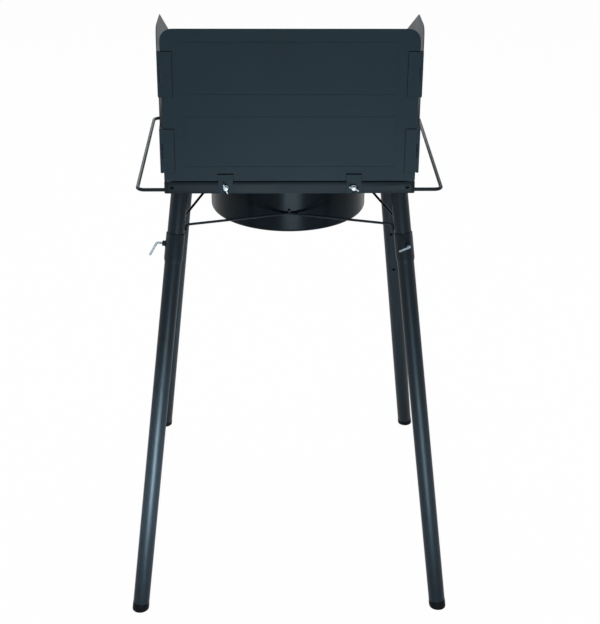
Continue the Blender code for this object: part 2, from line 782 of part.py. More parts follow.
def make_handle(name, side):
    """A rod bent to a wide U, with its two arms through the side skirt."""
    arm = FRONT_FACE - HANDLE_ARM_INSET
    inner = side * (SIDE_FACE - HANDLE_END_INSIDE)
    outer = side * (SIDE_FACE + HANDLE_REACH)
    z = SKIRT_BOTTOM + HANDLE_HEIGHT
    points = [(inner, -arm, z), (outer, -arm, z), (outer, arm, z), (inner, arm, z)]
    path = bent_path(points, [HANDLE_BEND_RADIUS] * 2, 5)
    return bent_rod(name, path, HANDLE_ROD_RADIUS, "powder_coat", 2)


def make_drum():
    """The drum: a flange on the deck, a plain wall, a rounded lower corner and a floor with an air opening."""
    t = DRUM_SHEET
    bend = DRUM_BOTTOM_BEND
    outer = arc((DRUM_RADIUS - bend, DRUM_BOTTOM + bend), bend, 0, -math.pi / 2, 2)
    inner = arc((DRUM_RADIUS - bend, DRUM_BOTTOM + bend), bend - t, -math.pi / 2, 0, 2)
    flange = DRUM_RADIUS + DRUM_FLANGE
    profile = [(flange, DRUM_TOP), (flange, DRUM_TOP - t), (DRUM_RADIUS, DRUM_TOP - t)]
    profile += outer
    profile += [(DRUM_AIR_OPENING, DRUM_BOTTOM), (DRUM_AIR_OPENING, DRUM_FLOOR)]
    profile += inner
    profile += [(DRUM_RADIUS - t, DRUM_TOP)]
    drum = add_mesh("burner_drum", turned(profile, DRUM_SIDES, closed=True), "enamel")
    mixer_hole = rod(MIXER_RADIUS + 0.004, 0.10, DRUM_RADIUS + 0.02, TUBE_SIDES)
    cut(drum, aim(mixer_hole, (0, 1, 0), (0, 0, GAS_AXIS_HEIGHT)))
    peg_level = BRACE_HEIGHT + BRACE_WIRE_RADIUS + GAP + PEG_RADIUS
    for facing in ((0, -1, 0), (1, 0, 0), (-1, 0, 0)):
        peg = rod(PEG_RADIUS, DRUM_RADIUS - t * 0.6, DRUM_RADIUS + PEG_LENGTH, 8)
        weld(drum, aim(peg, facing, (0, 0, peg_level)))
    for x, y in drum_bolt_places():
        hole = rod(DRUM_BOLT_RADIUS + BORE_GAP, DRUM_TOP - 0.004, DRUM_TOP + 0.004, SMALL_SIDES)
        bmesh.ops.translate(hole, vec=(x, y, 0), verts=hole.verts)
        cut(drum, hole)
    return drum


def make_drum_bolts():
    """Pan-head bolts with their nuts run up, one body each, through the drum's flange and the deck."""
    for index, (x, y) in enumerate(drum_bolt_places()):
        head = DRUM_TOP + GAP
        nut = DECK_UNDERSIDE - GAP
        profile = [
            (DRUM_BOLT_HEAD_RADIUS * 0.7, head + DRUM_BOLT_HEAD_HEIGHT),
            (DRUM_BOLT_HEAD_RADIUS, head),
            (DRUM_BOLT_RADIUS, head),
            (DRUM_BOLT_RADIUS, nut),
            (DRUM_NUT_RADIUS, nut),
            (DRUM_NUT_RADIUS, nut - DRUM_NUT_HEIGHT),
        ]
        add_mesh(f"drum_bolt_{index + 1}", turned(profile, SMALL_SIDES), "zinc", (x, y, 0))


def make_grate():
    """The grate: a frame and two cross bars of flat bar on edge, with round rods welded across their tops."""
    half_x = SIDE_FACE - RIM_WIDTH - DECK_SLOPE - GRATE_MARGIN
    half_y = FRONT_FACE - RIM_WIDTH - DECK_SLOPE - GRATE_MARGIN
    low = DECK_TOP + GAP
    high = low + GRATE_BAR_HEIGHT
    w = GRATE_BAR_WIDTH
    outer = rounded_rectangle(half_x, half_y, GRATE_CORNER)
    inner = rounded_rectangle(half_x - w, half_y - w, GRATE_CORNER - w)
    rings = [[(x, y, z) for x, y in outline] for outline, z in
             ((outer, low), (outer, high), (inner, high), (inner, low))]
    grate = add_mesh("cooking_grate", loft(rings, closed=True), "cast_iron")
    for side in (-1, 1):
        y = side * GRATE_CROSS_BAR_OFFSET
        weld(grate, box((-half_x + w / 2, half_x - w / 2), (y - w / 2, y + w / 2), (high - GRATE_CROSS_BAR_HEIGHT, high)))
    rod_level = high - GRATE_WELD + GRATE_ROD_RADIUS
    pitch = 2 * (half_x - GRATE_CORNER - GRATE_ROD_RADIUS) / (GRATE_ROD_COUNT - 1)
    for i in range(GRATE_ROD_COUNT):
        x = (i - (GRATE_ROD_COUNT - 1) / 2) * pitch
        bar = rod(GRATE_ROD_RADIUS / math.cos(math.pi / 8), -half_y + w * 0.2, half_y - w * 0.2, 8)
        weld(grate, aim(bar, (0, 1, 0), (x, 0, rod_level), math.pi / 8))
    return grate


def make_burner_strap():
    """The hat-shaped strap across the drum's air opening that carries the burner."""
    low = DRUM_FLOOR + GAP
    t = STRAP_SHEET
    top = low + STRAP_RISE + t
    flat = STRAP_PLATFORM / 2
    end = DRUM_AIR_OPENING + STRAP_FOOT
    knee = DRUM_AIR_OPENING + 0.004
    outline = [(-end, low), (-knee, low), (-flat, top - t), (flat, top - t), (knee, low), (end, low)]
    outline += [(end, low + t), (knee + t / 2, low + t), (flat + t / 2, top)]
    outline += [(-flat - t / 2, top), (-knee - t / 2, low + t), (-end, low + t)]
    strap = add_mesh("burner_strap", prism(outline, "Y", -STRAP_WIDTH / 2, STRAP_WIDTH / 2), "steel")
    cut(strap, rod(BURNER_BOLT_RADIUS + BORE_GAP, low, top + 0.004, 12))
    return strap


def make_burner_bolt():
    """The long bolt that holds the burner together: up through the strap and the bowl, into the cap's boss."""
    under = PLATFORM_TOP - STRAP_SHEET - GAP
    profile = [
        (BURNER_BOLT_HEAD, under - 0.004),
        (BURNER_BOLT_HEAD, under),
        (BURNER_BOLT_RADIUS, under),
        (BURNER_BOLT_RADIUS, CAP_CROWN - CAP_BOLT_COVER - GAP),
    ]
    return add_mesh("burner_bolt", turned(profile, 12), "zinc")


def make_burner_bowl():
    """The cast burner bowl, with a foot below and a socket on the cook's side for the mixer tube."""
    base = BURNER_BASE
    rim = BURNER_RIM
    neck = base + BURNER_FOOT_HEIGHT
    wall = BURNER_WALL
    outer_profile = [
        (BURNER_FOOT_RADIUS, base),
        (BURNER_FOOT_RADIUS, neck - 0.002),
        (BURNER_RADIUS * 0.62, neck + 0.002),
        (BURNER_RADIUS * 0.92, neck + 0.010),
        (BURNER_RADIUS, neck + 0.020),
        (BURNER_RADIUS, rim),
        (BURNER_RADIUS - wall, rim),
        (BURNER_RADIUS - wall, neck + 0.020),
        (BURNER_RADIUS * 0.86, neck + 0.012),
        (BURNER_RADIUS * 0.58, neck + 0.005),
        (BURNER_FOOT_RADIUS, neck + 0.004),
    ]
    bowl = add_mesh("burner_bowl", turned(outer_profile, 28), "cast_iron")
    start = BURNER_RADIUS - wall * 0.5
    socket = rod(BURNER_SOCKET_RADIUS, start, BURNER_SOCKET_REACH, TUBE_SIDES)
    weld(bowl, aim(socket, (0, 1, 0), (0, 0, GAS_AXIS_HEIGHT)))
    bore = rod(MIXER_RADIUS + BORE_GAP, BURNER_RADIUS * 0.7, BURNER_SOCKET_REACH + 0.01, MIXER_SIDES)
    cut(bowl, aim(bore, (0, 1, 0), (0, 0, GAS_AXIS_HEIGHT)))
    cut(bowl, rod(BURNER_BOLT_RADIUS + BORE_GAP, base - 0.005, neck + 0.008, 12))
    return bowl


def make_burner_cap():
    """The cast cap: a domed top and a skirt notched all round, so that each notch is a flame port on the bowl."""
    low = BURNER_RIM + GAP
    inner = BURNER_RADIUS - CAP_SKIRT_WALL
    crown = CAP_CROWN
    profile = [
        (inner, low),
        (BURNER_RADIUS, low),
        (BURNER_RADIUS, low + CAP_SKIRT_HEIGHT),
        (BURNER_RADIUS * 0.90, crown - 0.004),
        (BURNER_RADIUS * 0.55, crown - 0.001),
        (CAP_BOSS_RADIUS, crown),
        (CAP_BOSS_RADIUS, crown - CAP_BOSS_LENGTH),
        (CAP_BOSS_RADIUS, crown - 0.0055),
        (inner * 0.85, crown - 0.008),
        (inner, low + CAP_SKIRT_HEIGHT - 0.002),
    ]
    cap = add_mesh("burner_cap", cap_body(profile, PORT_COUNT), "cast_iron")
    hole = rod(BURNER_BOLT_RADIUS + BORE_GAP, crown - CAP_BOSS_LENGTH - 0.002, crown - CAP_BOLT_COVER, 12)
    cut(cap, hole)
    notches = bmesh.new()
    for i in range(PORT_COUNT):
        block = box((inner - 0.003, BURNER_RADIUS + 0.003), (-PORT_WIDTH / 2, PORT_WIDTH / 2), (low - 0.002, low + PORT_HEIGHT))
        bmesh.ops.rotate(block, cent=(0, 0, 0), matrix=Matrix.Rotation(math.tau * (i + 0.5) / PORT_COUNT, 3, "Z"), verts=block.verts)
        merge_into(notches, block)
    cut(cap, notches)
    return cap


def cap_body(profile, sides):
    """A turned body whose middle is closed by a flat boss: the profile's points 5 and 6 carry its two faces."""
    rings = []
    for radius, height in profile:
        rings.append([
            (radius * math.cos(math.tau * i / sides), radius * math.sin(math.tau * i / sides), height)
            for i in range(sides)
        ])
    bm = bmesh.new()
    rows = [[bm.verts.new(p) for p in ring] for ring in rings]
    pairs = [(i, i + 1) for i in range(len(rows) - 1) if i != 5] + [(len(rows) - 1, 0)]
    for a, b in pairs:
        for i in range(sides):
            j = (i + 1) % sides
            bm.faces.new((rows[a][i], rows[a][j], rows[b][j], rows[b][i]))
    bm.faces.new(rows[5])
    bm.faces.new(list(reversed(rows[6])))
    return bm


def merge_into(target, source):
    """Copies one bmesh's faces into another."""
    mesh = bpy.data.meshes.new("merge")
    source.to_mesh(mesh)
    source.free()
    target.from_mesh(mesh)
    bpy.data.meshes.remove(mesh)


def window_cutters(low, high):
    """Sector-shaped windows round the gas axis, drawn on Z."""
    cutters = bmesh.new()
    for k in range(WINDOW_COUNT):
        middle = math.tau * k / WINDOW_COUNT + math.pi / 2
        start = middle - WINDOW_ANGLE / 2
        end = middle + WINDOW_ANGLE / 2
        outline = arc((0, 0), WINDOW_OUTER, start, end, 5) + arc((0, 0), WINDOW_INNER, end, start, 3)
        merge_into(cutters, prism(outline, "Z", low, high))
    return cutters


def on_gas_axis(bm):
    """Lays a shape drawn on Z along the gas axis, so that its height runs towards the cook."""
    return aim(bm, (0, 1, 0), (0, 0, GAS_AXIS_HEIGHT))


def make_mixer_tube():
    """The mixer tube: a venturi that widens to a bell, closed by a plate with air windows and a hole for the jet."""
    outer = MIXER_RADIUS
    bore = outer - MIXER_WALL
    bell = MIXER_END - MIXER_BELL_LENGTH
    plate = MIXER_END - MOUTH_PLATE
    jet_hole = JET_NECK_RADIUS + BORE_GAP
    profile = [
        (outer, MIXER_START),
        (outer, bell),
        (outer + 0.003, bell + 0.007),
        (MIXER_BELL_RADIUS, bell + 0.015),
        (MIXER_BELL_RADIUS, MIXER_END),
        (jet_hole, MIXER_END),
        (jet_hole, plate),
        (MIXER_BELL_RADIUS - 0.002, plate),
        (MIXER_BELL_RADIUS - 0.002, bell + 0.016),
        (bore + 0.002, bell + 0.008),
        (bore - 0.001, bell - 0.010),
        (bore, MIXER_START),
    ]
    mixer = add_mesh("mixer_tube", on_gas_axis(turned(profile, MIXER_SIDES, closed=True)), "cast_iron")
    cut(mixer, on_gas_axis(window_cutters(plate - 0.001, MIXER_END + 0.001)))
    return mixer


def make_air_shutter():
    """The plate that turns on the jet's neck to open or close the air windows. Its origin is on the gas axis."""
    outer = MIXER_BELL_RADIUS
    half_tab = SHUTTER_TAB_WIDTH / 2
    start = math.asin(half_tab / outer)
    tip = outer + SHUTTER_TAB_LENGTH
    outline = arc((0, 0), outer, start, math.tau - start, 26) + [(tip, -half_tab), (tip, half_tab)]
    bm = aim(prism(outline, "Z", 0, SHUTTER_SHEET), (0, 1, 0))
    shutter = add_mesh("air_shutter", bm, "zinc", (0, SHUTTER_BACK, GAS_AXIS_HEIGHT))
    holes = window_cutters(-0.001, SHUTTER_SHEET + 0.001)
    merge_into(holes, rod(JET_NECK_RADIUS + BORE_GAP, -0.001, SHUTTER_SHEET + 0.001, 14))
    cut(shutter, aim(holes, (0, 1, 0)))
    return shutter


def make_jet():
    """The brass jet: a nozzle inside the bell, a neck through plate and shutter, and a hexagon against the valve."""
    tip = MIXER_END - MOUTH_PLATE - JET_REACH
    profile = [
        (0.0010, tip),
        (JET_NOZZLE_RADIUS, tip + 0.003),
        (JET_NECK_RADIUS, MIXER_END - MOUTH_PLATE - 0.001),
        (JET_NECK_RADIUS, JET_HEX_BACK + 0.0002),
    ]
    jet = add_mesh("gas_jet", on_gas_axis(turned(profile, 12)), "brass")
    weld(jet, on_gas_axis(hexagon(JET_HEX_RADIUS, JET_HEX_BACK, JET_HEX_BACK + JET_HEX_LENGTH)))
    return jet


def make_valve():
    """The brass valve body, with a neck through the control panel and a threaded branch for the inlet."""
    neck = VALVE_NECK_RADIUS
    stem = STEM_RADIUS + BORE_GAP
    profile = [
        (VALVE_BODY_RADIUS * 0.75, VALVE_BACK),
        (VALVE_BODY_RADIUS, VALVE_BACK + 0.002),
        (VALVE_BODY_RADIUS, VALVE_FRONT - 0.002),
        (VALVE_COLLAR_RADIUS, VALVE_FRONT),
        (VALVE_COLLAR_RADIUS, PANEL_BACK - GAP),
        (neck, PANEL_BACK - GAP),
        (neck, NUT_FRONT + 0.001),
    ]
    valve = add_mesh("gas_valve", on_gas_axis(turned(profile, 16)), "brass")
    middle = (VALVE_BACK + VALVE_FRONT) / 2
    branch = rod(INLET_RADIUS, 0.004, 0.018, 14)
    weld(valve, aim(branch, (-1, 0, 0), (0, middle, GAS_AXIS_HEIGHT)))
    cut(valve, on_gas_axis(rod(stem, STEM_BACK - GAP, NUT_FRONT + 0.005, 12)))
    return valve


def make_inlet():
    """The inlet fitting: a hexagon and a threaded stub, ready for a hose."""
    middle = (VALVE_BACK + VALVE_FRONT) / 2
    start = 0.018 + GAP
    profile = [
        (INLET_RADIUS, start + 0.0078),
        (INLET_RADIUS, INLET_REACH - 0.001),
        (INLET_RADIUS - 0.001, INLET_REACH),
        (INLET_RADIUS - 0.0028, INLET_REACH),
        (INLET_RADIUS - 0.0028, INLET_REACH - 0.010),
    ]
    place = (0, middle, GAS_AXIS_HEIGHT)
    inlet = add_mesh("gas_inlet", aim(turned(profile, 14), (-1, 0, 0), place), "brass")
    weld(inlet, aim(hexagon(INLET_HEX_RADIUS, start, start + 0.008), (-1, 0, 0), place))
    return inlet


def make_control_panel():
    """The small plate that hangs behind the front skirt and carries the valve."""
    half = PANEL_WIDTH / 2
    top = SKIRT_TOP - TABLE_SHEET - 0.004
    outline = rounded_outline([
        (-half, top, 0), (half, top, 0), (half - 0.012, PANEL_BOTTOM, PANEL_CORNER),
        (-half + 0.012, PANEL_BOTTOM, PANEL_CORNER),
    ])
    panel = add_mesh("control_panel", prism(outline, "Y", PANEL_BACK, PANEL_FRONT), "powder_coat")
    reach = 0.01
    hole = rod(VALVE_NECK_RADIUS + BORE_GAP, PANEL_BACK - reach, PANEL_FRONT + reach, 16)
    cut(panel, on_gas_axis(hole))
    for side in (-1, 1):
        hole = rod(PANEL_SCREW_RADIUS + BORE_GAP, -reach, reach, 10)
        cut(panel, aim(hole, (0, 1, 0), (side * PANEL_SCREW_OFFSET, PANEL_FRONT, SKIRT_HOLE_Z)))
    return panel


def make_panel_screws():
    """The two screws that hold the control panel to the front skirt."""
    for name, side in SIDES.items():
        head = FRONT_FACE + GAP
        profile = [
            (PANEL_SCREW_RADIUS, PANEL_BACK - 0.003),
            (PANEL_SCREW_RADIUS, head),
            (PANEL_SCREW_HEAD, head),
            (PANEL_SCREW_HEAD, head + 0.0012),
            (PANEL_SCREW_HEAD * 0.6, head + 0.0024),
        ]
        bm = aim(turned(profile, 10), (0, 1, 0), (side * PANEL_SCREW_OFFSET, 0, SKIRT_HOLE_Z))
        add_mesh(f"panel_screw_{name}", bm, "zinc")


def make_valve_nut():
    """The nut that clamps the valve's neck to the control panel."""
    bm = on_gas_axis(hexagon(NUT_RADIUS, NUT_BACK, NUT_FRONT))
    nut = add_mesh("valve_nut", bm, "brass")
    cut(nut, on_gas_axis(rod(VALVE_NECK_RADIUS + BORE_GAP, NUT_BACK - 0.002, NUT_FRONT + 0.002, 16)))
    return nut


def make_valve_stem():
    """The turning stem, with a flat for the knob. Its origin is on the gas axis."""
    bm = rod(STEM_RADIUS, 0, STEM_LENGTH, 12)
    stem = add_mesh("valve_stem", aim(bm, (0, 1, 0)), "brass", (0, STEM_BACK, GAS_AXIS_HEIGHT))
    flat = stem_flat(STEM_LENGTH - 0.009, STEM_LENGTH + 0.002, 0.0)
    cut(stem, aim(flat, (0, 1, 0)))
    return stem


def stem_flat(low, high, gap):
    """The block beyond the stem's flat, drawn on Z."""
    side = STEM_RADIUS * 0.55 - gap
    return box((side, STEM_RADIUS * 3), (-STEM_RADIUS * 3, STEM_RADIUS * 3), (low, high))


def make_knob():
    """The control knob: a chamfered base, a tapered grip bar across it and a blind hole for the stem."""
    profile = [
        (KNOB_RADIUS, 0),
        (KNOB_RADIUS, KNOB_BASE - 0.0015),
        (KNOB_RADIUS - 0.0015, KNOB_BASE),
    ]
    base = (0, KNOB_BACK, GAS_AXIS_HEIGHT)
    knob = add_mesh("control_knob", aim(turned(profile, 28), (0, 1, 0)), "black_plastic", base)
    length = KNOB_RADIUS - 0.0018
    half = KNOB_GRIP_WIDTH / 2
    levels = ((KNOB_BASE - 0.001, 1.0), (KNOB_BASE + KNOB_GRIP_HEIGHT - 0.0015, 0.82), (KNOB_BASE + KNOB_GRIP_HEIGHT, 0.62))
    rings = []
    for height, share in levels:
        shrink = 0.4 + 0.6 * share
        outline = rounded_rectangle(half * share, length * shrink, half * share * 0.8, 3)
        rings.append([(x, y, height) for x, y in outline])
    weld(knob, aim(loft(rings), (0, 1, 0)))
    hole = rod(STEM_RADIUS + 0.0001, -0.002, KNOB_SOCKET_DEPTH + GAP, 12)
    cut(knob, aim(hole, (0, 1, 0)))
    return knob


def make_back_screen():
    """The rear wind screen: a sheet with round top corners, two pressed frames, bend reliefs and a lower flange."""
    half = SCREEN_WIDTH / 2
    corner = SCREEN_CORNER
    outline = rounded_outline([
        (-half, SCREEN_BOTTOM, 0.002), (half, SCREEN_BOTTOM, 0.002),
        (half, SCREEN_TOP, corner), (-half, SCREEN_TOP, corner),
    ], 6)
    screen = add_mesh("back_screen", prism(outline, "Y", REAR_FACE, SCREEN_FRONT), "powder_coat")
    flange = half - SCREEN_FLANGE_MARGIN
    weld(screen, box((-flange, flange), (REAR_FACE + SCREEN_SHEET / 3, REAR_FACE + SCREEN_FLANGE), (SCREEN_BOTTOM, SCREEN_BOTTOM + SCREEN_SHEET)))
    for side in (-1, 1):
        for inset in RELIEF_INSETS:
            x = side * (half - inset)
            w = RELIEF_WIDTH / 2
            low = SCREEN_BOTTOM
            top = low + RELIEF_HEIGHT
            shape = [(x - w, low - 0.002), (x + w, low - 0.002), (x + w, top - w), (x + w * 0.5, top), (x - w * 0.5, top), (x - w, top - w)]
            cut(screen, prism(shape, "Y", REAR_FACE - 0.002, SCREEN_FRONT + 0.002))
        slot = CLIP_WIDTH / 2 + CLIP_SLOT_SPARE
        x = side * CLIP_OFFSET
        z = CLIP_TOP - CLIP_SHEET - GAP
        cut(screen, box((x - slot, x + slot), (REAR_FACE - 0.002, SCREEN_FRONT + 0.002), (z, z + CLIP_SLOT_HEIGHT)))
    for groove in (UPPER_GROOVE, LOWER_GROOVE):
        cut(screen, groove_cutter(*groove))
    return screen


def groove_cutter(inset, low, high):
    """A rectangular ring that cuts a shallow line into the screen's rear face."""
    w = GROOVE_WIDTH / 2
    half_x = SCREEN_WIDTH / 2 - inset
    rear = REAR_FACE - 0.001
    front = REAR_FACE + GROOVE_DEPTH
    def ring(grow, y):
        x = half_x + grow
        return [(-x, y, low - grow), (x, y, low - grow), (x, y, high + grow), (-x, y, high + grow)]
    return loft([ring(w, rear), ring(w, front), ring(-w, front), ring(-w, rear)], closed=True)


def knuckle_levels(bottom):
    """The ends of a hinge's three knuckles, lowest first."""
    third = HINGE_HEIGHT / 3
    return [(bottom, bottom + third - GAP / 2), (bottom + third + GAP / 2, bottom + 2 * third - GAP / 2),
            (bottom + 2 * third + GAP / 2, bottom + HINGE_HEIGHT)]


def make_hinge_leaf(name, side, bottom):
    """A leaf on the rear face of the screen, rolled round the pin at its top and bottom thirds."""
    lower, middle, upper = knuckle_levels(bottom)
    inner = side * (PIN_X - LEAF_WIDTH)
    outer = side * PIN_X
    short = side * (PIN_X - KNUCKLE_RADIUS - GAP)
    notch = GAP / 2
    outline = [
        (inner, lower[0]), (outer, lower[0]), (outer, lower[1]), (short, lower[1]),
        (short, middle[1] + notch), (outer, upper[0]), (outer, upper[1]), (inner, upper[1]),
    ]
    outline[4] = (short, upper[0])
    leaf = add_mesh(name, prism(outline, "Y", LEAF_REAR, LEAF_FRONT), "powder_coat")
    for low, high in (lower, upper):
        knuckle = rod(KNUCKLE_RADIUS, low, high, KNUCKLE_SIDES)
        bmesh.ops.translate(knuckle, vec=(side * PIN_X, PIN_Y, 0), verts=knuckle.verts)
        weld(leaf, knuckle)
    cut(leaf, pin_bore(side, bottom))
    return leaf


def pin_bore(side, bottom):
    """The hole for a hinge pin, run past both ends of the hinge."""
    bore = rod(PIN_RADIUS + BORE_GAP, bottom - 0.003, bottom + HINGE_HEIGHT + 0.003, SMALL_SIDES)
    bmesh.ops.translate(bore, vec=(side * PIN_X, PIN_Y, 0), verts=bore.verts)
    return bore


def make_hinge_pin(name, side, bottom):
    """A plain pin, riveted over at both ends."""
    low = bottom - PIN_PLAY
    high = bottom + HINGE_HEIGHT + PIN_PLAY
    profile = [
        (PIN_HEAD_RADIUS, low - PIN_HEAD_HEIGHT), (PIN_HEAD_RADIUS, low), (PIN_RADIUS, low),
        (PIN_RADIUS, high), (PIN_HEAD_RADIUS, high), (PIN_HEAD_RADIUS * 0.7, high + PIN_HEAD_HEIGHT),
    ]
    return add_mesh(name, turned(profile, SMALL_SIDES), "powder_coat", (side * PIN_X, PIN_Y, 0))


def side_screen_outline():
    """The side screen in its own Y and Z, with a tab for each rolled knuckle."""
    rear = KNUCKLE_RADIUS + GAP
    front = rear + SIDE_LENGTH
    relief = rear + SIDE_RELIEF
    lower_top = HINGE_BOTTOMS[0] + HINGE_HEIGHT
    upper_bottom = HINGE_BOTTOMS[1]
    bend = SIDE_RELIEF_BEND
    corners = [
        (rear, SIDE_BOTTOM, 0),
        (front, SIDE_BOTTOM, 0.006),
        (front, SIDE_BOTTOM + SIDE_FRONT_HEIGHT, SIDE_FRONT_CORNER),
        (SIDE_LEVEL_LENGTH, SIDE_TOP, 0.010),
        (rear, SIDE_TOP, SIDE_BACK_CORNER),
    ]
    corners += knuckle_tab(rear, HINGE_BOTTOMS[1])
    corners += [
        (rear, upper_bottom, 0),
        (relief, upper_bottom - bend, bend / 2),
        (relief, lower_top + bend, bend / 2),
        (rear, lower_top, 0),
    ]
    corners += knuckle_tab(rear, HINGE_BOTTOMS[0])
    return rounded_outline(corners, 3)


def knuckle_tab(rear, bottom):
    """Four corners of the strip that runs from a side screen's edge to its rolled knuckle, top first."""
    low, high = middle_knuckle(bottom)
    trim = 0.0002
    end = -0.0003
    return [(rear, high - trim, 0), (end, high - trim, 0), (end, low + trim, 0), (rear, low + trim, 0)]


def middle_knuckle(bottom):
    """The ends of the knuckle that belongs to the side screen."""
    low, high = knuckle_levels(bottom)[1]
    return low + GAP / 2, high - GAP / 2


def make_side_screen(name, side):
    """A side wind screen. Its origin is on its pins, its rear edge is rolled round them and its top slopes forward."""
    faces = sorted((side * KNUCKLE_RADIUS, side * (KNUCKLE_RADIUS - SCREEN_SHEET)))
    bm = prism(side_screen_outline(), "X", faces[0], faces[1])
    screen = add_mesh(name, bm, "powder_coat", (side * PIN_X, PIN_Y, 0))
    for bottom in HINGE_BOTTOMS:
        low, high = middle_knuckle(bottom)
        weld(screen, rod(KNUCKLE_RADIUS, low, high, KNUCKLE_SIDES))
        cut(screen, rod(PIN_RADIUS + BORE_GAP, low - 0.003, high + 0.003, SMALL_SIDES))
    return screen


def make_latch_clip(name, side):
    """A clip hooked through the screen's slot, with a fork open downwards for its wing screw."""
    half = CLIP_WIDTH / 2
    fork = WING_SHANK_RADIUS + BORE_GAP
    low = CLIP_BOTTOM
    top = CLIP_TOP
    crown = SKIRT_HOLE_Z + CLIP_SCREW_SLOT_SPARE
    outline = [(-half, low), (-fork, low)] + arc((0, crown), fork, math.pi, 0, 6) + [(fork, low), (half, low), (half, top), (-half, top)]
    clip = add_mesh(name, prism(outline, "Y", CLIP_REAR, CLIP_FRONT), "powder_coat", (side * CLIP_OFFSET, 0, 0))
    hook = (CLIP_REAR + CLIP_SHEET / 2, SCREEN_FRONT + CLIP_HOOK)
    weld(clip, box((-half, half), hook, (top - CLIP_SHEET, top)))
    return clip


def make_wing_screw(name, side):
    """A wing screw in its nut. Its origin is on its own axis, and its two wings stand out from its hub."""
    head = -(CLIP_REAR - GAP) + REAR_FACE
    shank_end = -(TABLE_SHEET + WELD_NUT_LENGTH + 0.001)
    profile = [
        (WING_SHANK_RADIUS, shank_end),
        (WING_SHANK_RADIUS, head),
        (WING_HUB_RADIUS + 0.0006, head),
        (WING_HUB_RADIUS + 0.0006, head + 0.001),
        (WING_HUB_RADIUS, head + 0.0014),
        (WING_HUB_RADIUS * 0.8, head + WING_HUB_LENGTH),
    ]
    place = (side * CLIP_OFFSET, REAR_FACE, SKIRT_HOLE_Z)
    screw = add_mesh(name, aim(turned(profile, 12), (0, -1, 0)), "zinc", place)
    wings = prism(wing_outline(head + 0.0016), "Y", -WING_THICKNESS / 2, WING_THICKNESS / 2)
    turn = Matrix.Rotation(-WING_ANGLES[name.split("_")[-1]], 3, "Z")
    bmesh.ops.rotate(wings, cent=(0, 0, 0), matrix=turn, verts=wings.verts)
    weld(screw, aim(wings, (0, -1, 0)))
    return screw


def wing_outline(low):
    """Both wings as one outline, in the plane of the screw's axis."""
    reach = WING_SPAN / 2
    half = rounded_outline([
        (0, low, 0),
        (reach * 0.62, low + 0.0006, 0.001),
        (reach, low + WING_HEIGHT * 0.62, 0.0020),
        (reach * 0.86, low + WING_HEIGHT, 0.0010),
        (reach * 0.42, low + WING_HEIGHT * 0.62, 0.001),
        (0, low + 0.0045, 0),
    ], 3)
    inner = half[1:-1]
    return half + [(-a, b) for a, b in reversed(inner)]


def make_wind_screen():
    """The rear screen, both side screens, their hinges and what holds them to the table."""
    make_back_screen()
    for name, side in SIDES.items():
        make_side_screen(f"side_screen_{name}", side)
        make_latch_clip(f"latch_clip_{name}", side)
        make_wing_screw(f"wing_screw_{name}", side)
        for level, bottom in zip(("lower", "upper"), HINGE_BOTTOMS):
            make_hinge_leaf(f"hinge_leaf_{name}_{level}", side, bottom)
            make_hinge_pin(f"hinge_pin_{name}_{level}", side, bottom)


def make_burner():
    """Everything between the drum's floor and the knob."""
    make_burner_strap()
    make_burner_bolt()
    make_burner_bowl()
    make_burner_cap()
    make_mixer_tube()
    make_air_shutter()
    make_jet()
    make_valve()
    make_inlet()
    make_valve_stem()
    make_valve_nut()
    make_control_panel()
    make_panel_screws()
    make_knob()


def main():
    clear_scene()
    make_table_frame()
    make_legs()
    make_braces()
    make_handle("handle_left", -1)
    make_handle("handle_right", 1)
    make_drum()
    make_drum_bolts()
    make_grate()
    make_burner()
    make_wind_screen()


main()
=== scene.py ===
# %% [markdown]
# # A standing gas table, in metal and paint
#
# The object is a camp cooker: a pressed steel table on four splayed tube legs, a round drum with a gas
# burner in it, a welded grate, and a folding wind screen that stands along the table's rear edge.
# Its solids come ready made from the CAD model, all in metres and all in their right places.
# This script gives them their finishes, and remakes the round and bent pieces more finely.

# %% Load the frame
import json
import math
from functools import partial

import bmesh
import bpy
from mathutils import Matrix, Quaternion, Vector


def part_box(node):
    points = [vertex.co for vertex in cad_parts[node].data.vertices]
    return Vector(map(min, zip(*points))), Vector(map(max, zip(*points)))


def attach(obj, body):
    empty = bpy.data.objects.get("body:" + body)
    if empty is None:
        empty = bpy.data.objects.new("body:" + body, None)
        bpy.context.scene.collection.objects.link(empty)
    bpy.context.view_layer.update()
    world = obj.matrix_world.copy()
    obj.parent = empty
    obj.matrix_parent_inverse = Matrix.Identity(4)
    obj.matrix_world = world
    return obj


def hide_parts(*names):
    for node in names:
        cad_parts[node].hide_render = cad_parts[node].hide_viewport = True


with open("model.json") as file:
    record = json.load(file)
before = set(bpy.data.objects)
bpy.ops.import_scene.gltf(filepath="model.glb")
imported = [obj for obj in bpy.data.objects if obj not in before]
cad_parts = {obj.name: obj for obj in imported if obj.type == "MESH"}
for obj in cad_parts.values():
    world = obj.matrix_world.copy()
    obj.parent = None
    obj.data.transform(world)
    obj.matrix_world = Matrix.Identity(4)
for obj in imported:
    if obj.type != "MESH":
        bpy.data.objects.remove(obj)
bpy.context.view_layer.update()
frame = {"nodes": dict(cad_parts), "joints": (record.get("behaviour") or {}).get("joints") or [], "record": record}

NODES = frame["nodes"]
scene = bpy.context.scene

# %% [markdown]
# ## The camera
#
# A photograph's view is a place, a direction and a focal length. These were found by matching the
# corners of the table and the feet. The lens axis meets the picture above its middle, which a camera
# with a small vertical shift repeats, so that upright edges keep their slight lean.

# %% Place the camera
PICTURE_HEIGHT = 624
FOCAL_PIXELS = 1337.0
AXIS_ABOVE_MIDDLE = 62.0
CAMERA_PLACE = (-0.0335, -2.2068, 1.5345)
CAMERA_PITCH, CAMERA_YAW, CAMERA_ROLL = (math.radians(angle) for angle in (24.02, 1.44, 0.41))


